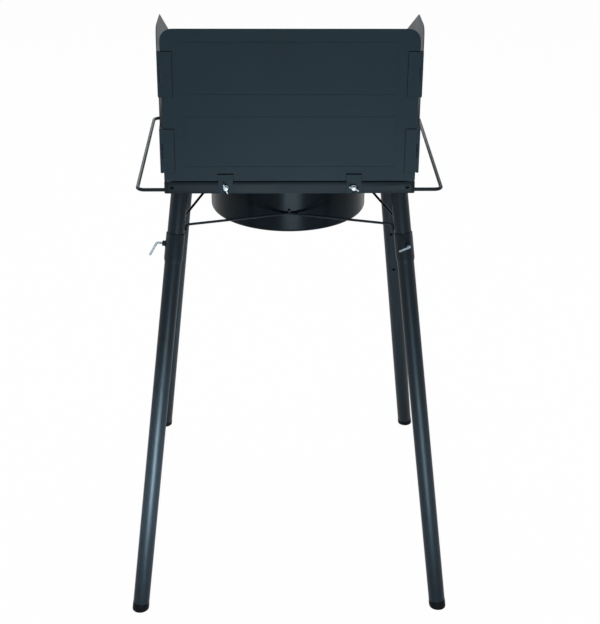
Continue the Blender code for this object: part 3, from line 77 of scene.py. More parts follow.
def shown(name, data):
    """A new object of some data, linked into the scene."""
    made = bpy.data.objects.new(name, data)
    scene.collection.objects.link(made)
    return made


def camera_axes(pitch, yaw, roll):
    """The camera's right, up and backward directions."""
    level = Vector((math.sin(yaw), math.cos(yaw), 0))
    forward = level * math.cos(pitch) - Vector((0, 0, math.sin(pitch)))
    up = level * math.sin(pitch) + Vector((0, 0, math.cos(pitch)))
    right = Vector((math.cos(yaw), -math.sin(yaw), 0))
    rolled_right = right * math.cos(roll) + up * math.sin(roll)
    rolled_up = up * math.cos(roll) - right * math.sin(roll)
    return rolled_right, rolled_up, -forward


lens = bpy.data.cameras.new("view")
lens.sensor_width = 36.0
lens.lens = lens.sensor_width * FOCAL_PIXELS / PICTURE_HEIGHT
lens.shift_y = -AXIS_ABOVE_MIDDLE / PICTURE_HEIGHT
lens.clip_start = 0.05
camera = shown("view", lens)
turn = Matrix(camera_axes(CAMERA_PITCH, CAMERA_YAW, CAMERA_ROLL)).transposed().to_4x4()
camera.matrix_world = Matrix.Translation(CAMERA_PLACE) @ turn
scene.camera = camera
scene.view_settings.view_transform = "Standard"
print("lens", round(lens.lens, 1), "mm")

# %% [markdown]
# ## Building with nodes
#
# Materials and shapes in this script are node trees. One small function adds a node, sets its
# properties, and then fills each input with a number or links it to another node's output. With it a
# tree reads almost like a formula.

# %% Add a node
def step(tree, kind, values=None, **settings):
    """Adds a node, sets its properties, and fills or links its inputs by name or number."""
    node = tree.nodes.new(kind)
    for label, value in settings.items():
        setattr(node, label, value)
    for label, value in (values or {}).items():
        if isinstance(value, bpy.types.NodeSocket):
            tree.links.new(value, node.inputs[label])
        else:
            node.inputs[label].default_value = value
    return node


def geo(tree, kind, values=None, **settings):
    """Adds a Geometry Nodes node and gives back its first output."""
    return step(tree, f"GeometryNode{kind}", values, **settings).outputs[0]


def maths(tree, operation, first, second):
    """Two values joined by a maths operation."""
    return step(tree, "ShaderNodeMath", {0: first, 1: second}, operation=operation).outputs[0]


def ranged(tree, value, low=0.0, high=1.0, to_low=0.0, to_high=1.0):
    """A value moved from one range to another."""
    values = {"Value": value, "From Min": low, "From Max": high, "To Min": to_low, "To Max": to_high}
    return step(tree, "ShaderNodeMapRange", values).outputs["Result"]


def mixed(tree, mask, dark, light):
    """A colour that moves between two by a mask."""
    values = {"Factor": mask, "A": dark, "B": light}
    return step(tree, "ShaderNodeMix", values, data_type="RGBA").outputs["Result"]


def plain_material(name, numbers):
    """A new material with numbers on its shader's own sockets, and that shader."""
    material = bpy.data.materials.new(name)
    material.use_nodes = True
    shader = material.node_tree.nodes["Principled BSDF"]
    for label, value in numbers.items():
        shader.inputs[label].default_value = value
    return material, shader


print("node tools", [tool.__name__ for tool in (step, maths, ranged, mixed, plain_material)])

# %% [markdown]
# ## The studio
#
# Black powder coat shows its form only by what it reflects. Large soft panels stand in front, behind,
# at both sides and above. A low one puts the line of light on the drum, and two small ones near the
# floor, with a narrow spread, do the same for the lower legs. The floor is pale. For the camera and for
# reflections it is mixed with plain white, which keeps a soft shadow and still gives the bright ground
# of a catalogue picture.

# %% Make the floor and the world
FLOOR_HALF, FLOOR_LEVEL = 14, -0.0004
BACKDROP_SHARE = 0.98
WORLD_STRENGTH = 0.20


def seen_directly(tree):
    """A mask that is 1 for camera, glossy and transmission rays."""
    path = step(tree, "ShaderNodeLightPath").outputs
    either = maths(tree, "MAXIMUM", path["Is Camera Ray"], path["Is Glossy Ray"])
    return maths(tree, "MAXIMUM", either, path["Is Transmission Ray"])


def make_floor():
    """A wide pale plane just under the feet."""
    bm = bmesh.new()
    bmesh.ops.create_grid(bm, x_segments=1, y_segments=1, size=FLOOR_HALF)
    mesh = bpy.data.meshes.new("floor")
    bm.to_mesh(mesh)
    bm.free()
    floor = shown("floor", mesh)
    floor.location.z = FLOOR_LEVEL
    material, shader = plain_material("pale_floor", {
        "Base Color": (0.86, 0.87, 0.88, 1), "Roughness": 0.9, "Specular IOR Level": 0.1})
    tree = material.node_tree
    white = step(tree, "ShaderNodeEmission", {"Strength": 1.0})
    share = maths(tree, "MULTIPLY", seen_directly(tree), BACKDROP_SHARE)
    mix = step(tree, "ShaderNodeMixShader", {0: share, 1: shader.outputs[0], 2: white.outputs[0]})
    tree.links.new(mix.outputs[0], tree.nodes["Material Output"].inputs["Surface"])
    mesh.materials.append(material)


def make_world(strength):
    """A grey surround that looks white to the camera."""
    world = bpy.data.worlds.new("studio")
    world.use_nodes = True
    tree = world.node_tree
    background = tree.nodes["Background"]
    tree.links.new(ranged(tree, seen_directly(tree), to_low=strength), background.inputs["Strength"])
    background.inputs["Color"].default_value = (1.0, 1.0, 1.0, 1)
    scene.world = world


make_floor()
make_world(WORLD_STRENGTH)
print("world strength", WORLD_STRENGTH)

# %% Hang the soft lights
LIGHT_COLOUR = (0.84, 0.94, 1.0)
LIGHTS = {   # place, target, size, power, spread in degrees
    "low": ((0.12, -1.45, 0.11), (0.0, -0.25, 0.40), (0.60, 0.16), 10, 180),
    "leg_left": ((-0.21, -0.78, 0.13), (-0.24, -0.27, 0.24), (0.56, 0.22), 2.4, 44),
    "leg_right": ((0.27, -0.78, 0.13), (0.24, -0.27, 0.24), (0.46, 0.22), 0.6, 44),
    "front": ((0.2, -2.9, 2.7), (0.0, 0.0, 0.7), (1.6, 1.0), 20, 180),
    "back": ((-0.5, 2.9, 2.1), (0.0, 0.0, 0.7), (1.6, 1.0), 26, 180),
    "left": ((-2.2, -0.2, 1.2), (0.0, 0.0, 0.7), (0.6, 1.9), 15, 180),
    "right": ((2.3, 0.3, 1.2), (0.0, 0.0, 0.7), (0.5, 1.9), 16, 180),
    "top": ((0.1, 0.9, 3.0), (0.0, 0.0, 0.8), (1.8, 1.8), 30, 180),
}
for name, (place, target, size, power, spread) in LIGHTS.items():
    data = bpy.data.lights.new(name, "AREA")
    data.shape = "RECTANGLE"
    data.size, data.size_y = size
    data.energy = power
    data.spread = math.radians(spread)
    data.color = LIGHT_COLOUR
    lamp = shown(name, data)
    lamp.location = place
    lamp.rotation_euler = (Vector(target) - Vector(place)).to_track_quat("-Z", "Y").to_euler()
print("lights", len(LIGHTS))

# %% [markdown]
# ## Patterns that several finishes share
#
# Each pattern is a small node group with named sockets. It takes the surface's own coordinates and
# gives back a height for a bump, a slow unevenness or a mask. A material places a group with its own
# scale, so the same grain serves a fine powder coat and a coarse casting.

# %% Build the pattern groups
def pattern_group(name, inputs, outputs):
    """An empty shader group with a vector and named numbers going in, and numbers coming out."""
    group = bpy.data.node_groups.new(name, "ShaderNodeTree")
    group.interface.new_socket("Vector", in_out="INPUT", socket_type="NodeSocketVector")
    for label, value in inputs.items():
        made = group.interface.new_socket(label, in_out="INPUT", socket_type="NodeSocketFloat")
        made.default_value = value
    for label in outputs:
        group.interface.new_socket(label, in_out="OUTPUT", socket_type="NodeSocketFloat")
    return group, group.nodes.new("NodeGroupInput").outputs, group.nodes.new("NodeGroupOutput").inputs


def noise(tree, vector, scale, detail, roughness=0.5):
    """A noise texture's value."""
    values = {"Vector": vector, "Scale": scale, "Detail": detail, "Roughness": roughness}
    return step(tree, "ShaderNodeTexNoise", values).outputs["Fac"]


RELIEF = ("Height", "Uneven")


def grain_group():
    """Fine bumps over a slow unevenness, as on powder coat or a casting."""
    group, given, out = pattern_group("surface_grain", {"Scale": 900.0, "Slow Scale": 14.0}, RELIEF)
    group.links.new(noise(group, given["Vector"], given["Scale"], 3.0, 0.55), out["Height"])
    slow = noise(group, given["Vector"], given["Slow Scale"], 2.0)
    group.links.new(ranged(group, slow, 0.3, 0.7), out["Uneven"])
    return group


def drawn_group():
    """Fine lines along one axis, as drawn wire and turned brass have."""
    group, given, out = pattern_group("drawn_lines", {"Along": 30.0, "Across": 2500.0}, RELIEF)
    split = step(group, "ShaderNodeSeparateXYZ", {0: given["Vector"]}).outputs
    scaled = {axis: maths(group, "MULTIPLY", split[axis], given[rate])
              for axis, rate in (("X", "Across"), ("Y", "Across"), ("Z", "Along"))}
    join = step(group, "ShaderNodeCombineXYZ", scaled)
    group.links.new(noise(group, join.outputs[0], 1.0, 2.0), out["Height"])
    group.links.new(ranged(group, noise(group, given["Vector"], 40.0, 3.0), 0.3, 0.7), out["Uneven"])
    return group


def gap_shade_group():
    """A box in X and Z whose edge is soft over less than half a millimetre: the mask for painted gap shade."""
    sides = dict.fromkeys(("Left", "Right", "Low", "High"), 0.0)
    group, given, out = pattern_group("seam_box", sides, ["Mask"])
    split = step(group, "ShaderNodeSeparateXYZ", {0: given["Vector"]}).outputs
    pairs = ((split["X"], given["Left"]), (given["Right"], split["X"]),
             (split["Z"], given["Low"]), (given["High"], split["Z"]))
    nearest = 1.0
    for more, less in pairs:
        nearest = maths(group, "MINIMUM", nearest, maths(group, "SUBTRACT", more, less))
    group.links.new(ranged(group, nearest, -0.0002, 0.0002), out["Mask"])
    return group


GRAIN, DRAWN, GAP_SHADE_BOX = grain_group(), drawn_group(), gap_shade_group()
print("pattern groups", len(bpy.data.node_groups))

# %% [markdown]
# ## The finishes
#
# Most of the stove is black powder coat with a cool cast: satin, with a fine grain. The drum wears a
# glossier enamel. The grate and the burner are rough and matt. The screws are bright zinc, the gas
# parts are brass, and the knob and the feet are moulded plastic. Numbers that are the same all over
# stay on the shader's own sockets, and only what changes over the surface comes from the groups.

# %% Mix the finishes
FINISHES = {}


def placed(tree, group, coordinates, numbers):
    """One of the pattern groups, set in a material with its own numbers."""
    made = step(tree, "ShaderNodeGroup", node_tree=group)
    tree.links.new(coordinates, made.inputs["Vector"])
    for socket, number in zip(list(made.inputs)[1:], numbers):
        socket.default_value = number
    return made.outputs


def finish(name, dark, light, roughness, grain, depth, metallic=0.0, specular=0.5, tint=(1, 1, 1),
           pattern=GRAIN):
    """A finish from two near colours, a range of roughness and a bump pattern."""
    material, shader = plain_material(name, {
        "Metallic": metallic, "Specular IOR Level": specular, "Specular Tint": (*tint, 1)})
    tree, given = material.node_tree, shader.inputs
    relief = placed(tree, pattern, step(tree, "ShaderNodeTexCoord").outputs["Object"], grain)
    tree.links.new(mixed(tree, relief["Uneven"], (*dark, 1), (*light, 1)), given["Base Color"])
    tree.links.new(ranged(tree, relief["Uneven"], 0, 1, *roughness), given["Roughness"])
    bump = step(tree, "ShaderNodeBump", {"Distance": depth, "Strength": 1.0, "Height": relief["Height"]})
    tree.links.new(bump.outputs[0], given["Normal"])
    FINISHES[name] = material


BLACKS = {"specular": 0.13, "tint": (0.74, 0.92, 1.0)}
finish("powder_coat", (0.006, 0.009, 0.012), (0.007, 0.011, 0.015), (0.37, 0.44), (800, 9), 6e-5, **BLACKS)
BLACKS["specular"] = 0.10
finish("screen_coat", (0.014, 0.023, 0.030), (0.017, 0.028, 0.037), (0.42, 0.50), (800, 7), 6e-5, **BLACKS)
BLACKS["specular"] = 0.07
finish("enamel", (0.003, 0.005, 0.007), (0.004, 0.007, 0.010), (0.24, 0.30), (260, 12), 2e-5, **BLACKS)
finish("casting", (0.020, 0.020, 0.021), (0.040, 0.038, 0.037), (0.62, 0.80), (420, 45), 1.4e-4, 0.35)
finish("grate_black", (0.014, 0.017, 0.019), (0.022, 0.024, 0.026), (0.55, 0.68), (520, 30), 6e-5)
finish("zinc", (0.50, 0.57, 0.62), (0.62, 0.69, 0.73), (0.26, 0.40), (60, 1500), 1e-5, 1.0, pattern=DRAWN)
finish("zinc_wire", (0.19, 0.24, 0.28), (0.25, 0.30, 0.34), (0.42, 0.50), (60, 900), 4e-6, 1.0,
       pattern=DRAWN)
finish("plated_sheet", (0.42, 0.43, 0.44), (0.52, 0.53, 0.54), (0.34, 0.48), (300, 60), 1e-5, 1.0)
finish("brass", (0.62, 0.44, 0.17), (0.74, 0.56, 0.26), (0.22, 0.36), (1200, 80), 1.2e-5, 1.0,
       pattern=DRAWN)
finish("moulded", (0.002, 0.003, 0.004), (0.003, 0.004, 0.005), (0.46, 0.58), (1500, 30), 2e-5,
       specular=0.05)
# A near black finish that paints shade on the clips' narrow faces, for the gap round each clip.
finish("dark_edge", (0.001, 0.0015, 0.002), (0.0015, 0.002, 0.003), (0.80, 0.90), (900, 14), 2e-5,
       specular=0.02)
finish("pointer", (0.60, 0.60, 0.58), (0.66, 0.66, 0.64), (0.45, 0.55), (900, 30), 1e-5)
print("finishes", sorted(FINISHES))

# %% [markdown]
# ## Sheet metal that keeps its CAD shape
#
# The table top, the screens, the hinge leaves and the clips are already right, but they arrive as
# loose flat triangles. A small Geometry Nodes tree welds them and shades them smooth, except over
# edges sharper than an angle, so a rolled knuckle looks round and a cut edge stays crisp. The tree
# only changes how the mesh is shaded, so the CAD shape is kept.

# %% Shade the carried-over solids
SLOT_OF = {row["node"]: row["material_slot"] for row in frame["record"]["subparts"]}
SLOT_FINISH = {"gloss_enamel": "enamel", "cast_iron": "casting", "zinc_steel": "zinc",
               "black_plastic": "moulded"}
OWN_FINISH = {"burner_strap": "plated_sheet", "air_shutter": "plated_sheet", "cooking_grate": "grate_black"}
SCREEN_PIECES = ("back_screen", "side_screen", "hinge_leaf", "latch_clip")
WELD_DISTANCE = 0.00002
CREASE = math.radians(32)


def geometry_tree(name, inputs):
    """A Geometry Nodes tree with named inputs, and the sockets that it starts from."""
    tree = bpy.data.node_groups.new(name, "GeometryNodeTree")
    tree.is_modifier = True
    tree.interface.new_socket("Geometry", in_out="INPUT", socket_type="NodeSocketGeometry")
    for label, kind in inputs.items():
        tree.interface.new_socket(label, in_out="INPUT", socket_type="NodeSocket" + kind)
    tree.interface.new_socket("Geometry", in_out="OUTPUT", socket_type="NodeSocketGeometry")
    return tree, tree.nodes.new("NodeGroupInput").outputs


def closed_tree(tree, geometry):
    """Sends a geometry out of the tree."""
    step(tree, "NodeGroupOutput", {"Geometry": geometry})
    return tree


def add_tree(node, name, tree, values):
    """A Geometry Nodes modifier whose named inputs are set through their socket identifiers."""
    modifier = node.modifiers.new(name, "NODES")
    modifier.node_group = tree
    for item in tree.interface.items_tree:
        if item.item_type == "SOCKET" and item.in_out == "INPUT" and item.name in values:
            modifier[item.identifier] = values[item.name]


def shading_tree():
    """Welds loose triangles and keeps only the edges sharper than an angle."""
    tree, given = geometry_tree("shade_round_faces", {"Angle": "Float"})
    welded = geo(tree, "MergeByDistance", {"Geometry": given["Geometry"], "Distance": WELD_DISTANCE})
    faces = geo(tree, "SetShadeSmooth", {"Geometry": welded, "Shade Smooth": True}, domain="FACE")
    angle = step(tree, "GeometryNodeInputMeshEdgeAngle").outputs["Unsigned Angle"]
    sharp = step(tree, "FunctionNodeCompare", {"A": angle, "B": given["Angle"]},
                 data_type="FLOAT", operation="GREATER_THAN")
    values = {"Geometry": faces, "Selection": sharp.outputs["Result"], "Shade Smooth": False}
    return closed_tree(tree, geo(tree, "SetShadeSmooth", values, domain="EDGE"))


SHADING = shading_tree()
for name, node in NODES.items():
    coat = OWN_FINISH.get(name, SLOT_FINISH.get(SLOT_OF[name], SLOT_OF[name]))
    node.data.materials.clear()
    node.data.materials.append(FINISHES["screen_coat" if name.startswith(SCREEN_PIECES) else coat])
    add_tree(node, "shade", SHADING, {"Angle": CREASE})
print("finished nodes", len(NODES))

# %% [markdown]
# ## Painted shade in the gaps and at the edges
#
# Where one black sheet lies on another, a thin dark line shows the step between them, and each clip
# comes out of a slot. Real seam lines are shadow and bare metal. Here the shadow is painted: a mask
# built from boxes paints shade on the sheet just round each leaf and clip and as a band over each
# clip's slot, on its rear face only. A second tree gives the narrow faces of the clips a near black
# finish, which is painted shade that stands for the gap round them.

# %% Paint the gap shade
# Painted shade: a near black colour for the gaps round the leaves and clips, where the sheets step and shadow
# falls.
GAP_SHADE_COLOUR = (0.0008, 0.0012, 0.0016, 1)
GAP_SHADE_WIDTH = 0.0009
# Sizes of the painted shade band over each clip's slot, where the slit above the clip is in shadow.
SLOT_SHADE_SIDE, SLOT_SHADE_LOW, SLOT_SHADE_HIGH = 0.0008, 0.001, 0.0024
LEAVES = [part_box(name) for name in NODES if name.startswith("hinge_leaf")]
CLIPS = [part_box(f"latch_clip_{side}") for side in ("left", "right")]


def around(boxes, margin):
    """The left, right, low and high sides of boxes, moved out by a margin."""
    return [(low[0] - margin, high[0] + margin, low[2] - margin, high[2] + margin) for low, high in boxes]


def painted_gap_shade(name, coat, boxes):
    """Gives a node its finish with painted shade round the given boxes, on the rear face."""
    material = FINISHES[coat].copy()
    material.name = f"{coat}_with_seams"
    tree = material.node_tree
    colour = tree.nodes["Principled BSDF"].inputs["Base Color"]
    here = step(tree, "ShaderNodeTexCoord").outputs
    facing = step(tree, "ShaderNodeSeparateXYZ", {0: here["Normal"]}).outputs["Y"]
    gap_shade = 0.0
    for box in boxes:
        gap_shade = maths(tree, "MAXIMUM", gap_shade, placed(tree, GAP_SHADE_BOX, here["Object"], box)["Mask"])
    mask = maths(tree, "MULTIPLY", gap_shade, ranged(tree, facing, -0.5, -0.7))
    tree.links.new(mixed(tree, mask, colour.links[0].from_socket, GAP_SHADE_COLOUR), colour)
    NODES[name].data.materials[0] = material


def edge_tree():
    """Gives the faces that look neither forward nor back another finish."""
    tree, given = geometry_tree("finish_narrow_faces", {"Material": "Material"})
    facing = step(tree, "ShaderNodeSeparateXYZ", {"Vector": geo(tree, "InputNormal")}).outputs["Y"]
    narrow = step(tree, "FunctionNodeCompare", {"A": maths(tree, "ABSOLUTE", facing, 0.0), "B": 0.6},
                  data_type="FLOAT", operation="LESS_THAN")
    values = {"Geometry": given["Geometry"], "Selection": narrow.outputs["Result"],
              "Material": given["Material"]}
    return closed_tree(tree, geo(tree, "SetMaterial", values))


EDGES = edge_tree()
# The clips' narrow faces get painted shade, near black, that stands for the gap round each clip.
for side in ("left", "right"):
    add_tree(NODES[f"latch_clip_{side}"], "edges", EDGES, {"Material": FINISHES["dark_edge"]})
# The painted shade bands over the clips' slots.
slot_shade_bands = [(low[0] - SLOT_SHADE_SIDE, high[0] + SLOT_SHADE_SIDE, high[2] - SLOT_SHADE_LOW, high[2] + SLOT_SHADE_HIGH)
         for low, high in CLIPS]
# Painted shade round every leaf and clip and over each clip's slot on the back screen, and round the clips on the
# table frame.
painted_gap_shade("back_screen", "screen_coat", around(LEAVES, GAP_SHADE_WIDTH) + around(CLIPS, GAP_SHADE_WIDTH) + slot_shade_bands)
painted_gap_shade("table_frame", "powder_coat", around(CLIPS, GAP_SHADE_WIDTH))
print("seams round", len(LEAVES), "leaves and", len(CLIPS), "clips")

# %% [markdown]
# ## Tools for the round and bent pieces
#
# A turned part is a profile of radius and height swept round an axis. Real edges are never sharp, so
# each corner of a profile is eased by a small curve first. Bent wire is a path with round bends, given
# its thickness by a Geometry Nodes tree. Both kinds start on the Z axis and are then laid in place.

# %% Turned parts
BODY_OF = {node: body for body, nodes in frame["record"]["behaviour"]["bodies"].items() for node in nodes}


def eased(profile, radius, steps=3, closed=False):
    """The profile with its corners rounded, by less where the runs beside a corner are short."""
    points = []
    for i, corner in enumerate(profile):
        here = Vector(corner)
        if not closed and i in (0, len(profile) - 1):
            points.append(here)
            continue
        back = Vector(profile[i - 1]) - here
        ahead = Vector(profile[(i + 1) % len(profile)]) - here
        angle = back.angle(ahead)
        if angle > math.radians(172):
            points.append(here)
            continue
        reach = min(radius / math.tan(angle / 2), 0.42 * back.length, 0.42 * ahead.length)
        start = here + back.normalized() * reach
        end = here + ahead.normalized() * reach
        for t in (k / steps for k in range(steps + 1)):
            points.append(start * (1 - t) ** 2 + here * (2 * t * (1 - t)) + end * t**2)
    return points


def skinned(bm, rows, closed=False, first=True):
    """Faces between rows of points. Closed rows make a ring, and others get flat ends."""
    pairs = list(zip(rows, rows[1:])) + ([(rows[-1], rows[0])] if closed else [])
    for low, high in pairs:
        for i in range(len(low)):
            j = (i + 1) % len(low)
            bm.faces.new((low[i], low[j], high[j], high[i]))
    if not closed and first:
        bm.faces.new(list(reversed(rows[0])))
    if not closed:
        bm.faces.new(rows[-1])
    return bm


def turned(profile, sides=64, closed=False):
    """A surface swept round the Z axis."""
    bm = bmesh.new()
    turns = [math.tau * i / sides for i in range(sides)]
    rows = [[bm.verts.new((r * math.cos(a), r * math.sin(a), z)) for a in turns] for r, z in profile]
    return skinned(bm, rows, closed)


def laid(direction, place=(0, 0, 0)):
    """The matrix that takes the Z axis to a direction and the origin to a place."""
    turn = Vector((0, 0, 1)).rotation_difference(Vector(direction)).to_matrix().to_4x4()
    return Matrix.Translation(place) @ turn


def lifted(height):
    """The matrix that moves along Z."""
    return Matrix.Translation((0, 0, height))


def shaded(mesh, angle=35):
    """Smooth shading, with a crease where faces meet more sharply than the angle."""
    mesh.shade_smooth()
    mesh.set_sharp_from_angle(angle=math.radians(angle))
    return mesh


def solid(name, bm, material, matrix=None, angle=35):
    """Makes an object of a shape, with its faces outward and in its place."""
    bmesh.ops.recalc_face_normals(bm, faces=bm.faces)
    if matrix is not None:
        bmesh.ops.transform(bm, matrix=matrix, verts=bm.verts)
    mesh = bpy.data.meshes.new(name)
    bm.to_mesh(mesh)
    bm.free()
    mesh.materials.append(FINISHES[material])
    return shown(name, shaded(mesh, angle))


def lathed(name, outline, material, matrix=None, ease=0.0, steps=3, sides=64, closed=False):
    """An object turned from an outline whose corners may be eased."""
    profile = eased(outline, ease, steps, closed) if ease else outline
    return solid(name, turned(profile, sides, closed), material, matrix)


def rod(name, radius, low, high, material, matrix=None, sides=32):
    """A plain cylinder between two heights."""
    return lathed(name, [(radius, low), (radius, high)], material, matrix, sides=sides)


def carve(piece, *cutters, operation="DIFFERENCE"):
    """Cuts shapes out of an object, or joins them to it, and keeps the result as a plain mesh."""
    for cutter in cutters:
        modifier = piece.modifiers.new("cut", "BOOLEAN")
        modifier.operation = operation
        modifier.object = cutter
    view = piece.evaluated_get(bpy.context.evaluated_depsgraph_get())
    mesh = bpy.data.meshes.new_from_object(view)
    piece.modifiers.clear()
    old, piece.data = piece.data, mesh
    bpy.data.meshes.remove(old)
    for cutter in cutters:
        bpy.data.objects.remove(cutter)
    shaded(mesh)
    return piece


def merged(piece, *others):
    """Adds other objects' meshes to a piece, with their materials."""
    with bpy.context.temp_override(active_object=piece, selected_editable_objects=[piece, *others]):
        bpy.ops.object.join()
    return piece


def belongs_to(piece, node):
    """The piece moves with the body of a node."""
    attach(piece, BODY_OF[node])
    return piece


def stands_for(piece, *nodes):
    """The piece takes the place of CAD nodes, or of the one that it is named after."""
    nodes = nodes or (piece.name.removesuffix("_fine"),)
    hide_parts(*nodes)
    return belongs_to(piece, nodes[0])


def triangles(*pieces):
    """How many triangles each piece has."""
    return [sum(len(p.vertices) - 2 for p in piece.data.polygons) for piece in pieces]


# %% Wire, threads and rings by Geometry Nodes
def real_tree(tree, geometry, material, smooth=True):
    """Ends a tree with real meshes, smooth shading and a material."""
    real = geo(tree, "RealizeInstances", {"Geometry": geometry})
    if smooth:
        real = geo(tree, "SetShadeSmooth", {"Geometry": real})
    return closed_tree(tree, geo(tree, "SetMaterial", {"Geometry": real, "Material": material}))


def joined(tree, parts):
    """Several geometries as one."""
    join = tree.nodes.new("GeometryNodeJoinGeometry")
    for part in parts:
        tree.links.new(part, join.inputs[0])
    return join.outputs[0]


def round_rod(tree, path, radius, sides):
    """A round section along a path, and a ball for each end."""
    section = geo(tree, "CurvePrimitiveCircle", {"Resolution": sides, "Radius": radius})
    tube = geo(tree, "CurveToMesh", {"Curve": path, "Profile Curve": section})
    ball = geo(tree, "MeshUVSphere", {"Segments": sides, "Rings": 10, "Radius": radius})
    ends = geo(tree, "CurveEndpointSelection")
    return tube, geo(tree, "InstanceOnPoints", {"Points": path, "Selection": ends, "Instance": ball})


def wire_tree():
    """Gives a path of edges a round section and round ends."""
    tree, given = geometry_tree("round_wire", {"Radius": "Float", "Sides": "Int", "Material": "Material"})
    path = geo(tree, "MeshToCurve", {"Mesh": given["Geometry"]})
    tube, balls = round_rod(tree, path, given["Radius"], given["Sides"])
    return real_tree(tree, joined(tree, (balls, tube)), given["Material"])


def thread_tree():
    """A ridge that winds up the Z axis."""
    tree, given = geometry_tree("screw_thread", {
        "Radius": "Float", "Pitch": "Float", "Length": "Float", "Ridge": "Float", "Material": "Material"})
    helix = geo(tree, "CurveSpiral", {
        "Resolution": 22, "Rotations": maths(tree, "DIVIDE", given["Length"], given["Pitch"]),
        "Start Radius": given["Radius"], "End Radius": given["Radius"], "Height": given["Length"],
    })
    section = geo(tree, "CurvePrimitiveCircle", {"Resolution": 6, "Radius": given["Ridge"]})
    ridge = geo(tree, "CurveToMesh", {"Curve": helix, "Profile Curve": section, "Fill Caps": True})
    return real_tree(tree, ridge, given["Material"])


def ring_tree():
    """Copies an object round the Z axis, each copy turned to face outward."""
    tree, given = geometry_tree("ring_of_copies", {
        "Copy": "Object", "Count": "Int", "Radius": "Float", "Start": "Float", "Material": "Material"})
    circle = geo(tree, "MeshCircle", {"Vertices": given["Count"], "Radius": given["Radius"]})
    swing = step(tree, "ShaderNodeCombineXYZ", {"Z": given["Start"]}).outputs[0]
    points = geo(tree, "Transform", {"Geometry": circle, "Rotation": swing})
    place = geo(tree, "InputPosition")
    facing = step(tree, "FunctionNodeAlignRotationToVector", {"Vector": place}, axis="X", pivot_axis="Z")
    copy = step(tree, "GeometryNodeObjectInfo", {"Object": given["Copy"]}).outputs["Geometry"]
    values = {"Points": points, "Instance": copy, "Rotation": facing.outputs[0]}
    return real_tree(tree, geo(tree, "InstanceOnPoints", values), given["Material"], smooth=False)


WIRE, THREAD, RING = wire_tree(), thread_tree(), ring_tree()


def grown(name, tree, values, points=((0, 0, 0),), matrix=None):
    """Runs a tree on a path of points and keeps what it makes as a plain mesh in its place."""
    base = bpy.data.meshes.new(name)
    base.from_pydata([tuple(p) for p in points], [(i, i + 1) for i in range(len(points) - 1)], [])
    carrier = shown(name, base)
    add_tree(carrier, "grow", tree, values)
    view = carrier.evaluated_get(bpy.context.evaluated_depsgraph_get())
    mesh = bpy.data.meshes.new_from_object(view)
    bpy.data.objects.remove(carrier)
    bpy.data.meshes.remove(base)
    if matrix is not None:
        mesh.transform(matrix)
    mesh.name = name
    return shown(name, mesh)


def ringed(name, copy, count, radius, start, material, matrix=None):
    """Sets copies of an object round an axis and removes the object."""
    values = {"Copy": copy, "Count": count, "Radius": radius, "Start": start, "Material": FINISHES[material]}
    made = grown(name, RING, values, matrix=matrix)
    bpy.data.objects.remove(copy)
    return made


def bent_path(points, radii, steps=10):
    """Points along straight runs with a round bend at each inner corner."""
    path = [Vector(points[0])]
    for i, radius in enumerate(radii, start=1):
        here = Vector(points[i])
        back = (Vector(points[i - 1]) - here).normalized()
        ahead = (Vector(points[i + 1]) - here).normalized()
        half = back.angle(ahead) / 2
        centre = here + (back + ahead).normalized() * (radius / math.sin(half))
        start = here + back * (radius / math.tan(half)) - centre
        turn = start.rotation_difference(here + ahead * (radius / math.tan(half)) - centre)
        path += [centre + Quaternion().slerp(turn, k / steps) @ start for k in range(steps + 1)]
    path.append(Vector(points[-1]))
    return path


def wire(name, path, radius, material, sides):
    """A length of wire along a path, as long over its round ends as the path."""
    path = [Vector(p) for p in path]
    path[0] += (path[1] - path[0]).normalized() * radius
    path[-1] += (path[-2] - path[-1]).normalized() * radius
    return grown(name, WIRE, {"Radius": radius, "Sides": sides, "Material": FINISHES[material]}, path)


def thread(radius, length, material, matrix, pitch=0.0008):
    """A thread's ridge on a shank that stands on Z."""
    values = {"Radius": radius, "Pitch": pitch, "Length": length, "Ridge": pitch * 0.42,
              "Material": FINISHES[material]}
    return grown("thread", THREAD, values, matrix=matrix)


print("trees", [tree.name for tree in (WIRE, THREAD, RING)])

# %% [markdown]
# ## The legs
#
# Each leg is a tube with a wider socket pressed into its top. The socket slides on a short stub that is
# welded under the table. A threaded boss is welded to the socket for the clamp screw, and the cook's
# legs have two drilled holes that face the rear. The tubes are remade with many sides and with the
# small radii that a swaging tool leaves. The foot is a plastic plug whose sole is cut level, so its
# points are slid along the leg until they lie on the floor.

# %% Measure the legs
CORNERS = {"rear_left": (-1, -1), "rear_right": (1, -1), "front_left": (-1, 1), "front_right": (1, 1)}
LEG_TOP = (0.179, 0.171, 0.736)
LEG_SPLAY = (0.0825, 0.1375)
LEG_RADIUS = 0.014
LEG_BORE = LEG_RADIUS - 0.0012
LEG_LENGTH = math.hypot(LEG_SPLAY[0], LEG_SPLAY[1], LEG_TOP[2])
SOCKET_TOP = 0.0732
SOCKET_END = SOCKET_TOP + 0.044
SOCKET_BORE = LEG_RADIUS + 0.0003
SOCKET_RADIUS = SOCKET_BORE + 0.0012
BOSS_LEVEL = 0.0926
BOSS_FACE = SOCKET_RADIUS + 0.005
DECK_UNDERSIDE = 0.7485
FOOT_TOP = LEG_LENGTH - 0.0115
LEG_SIDES = 72
HOLE_RADIUS = 0.0029
LEG_HOLES = {"front_left": (0.499, 0.631), "front_right": (0.246, 0.331)}


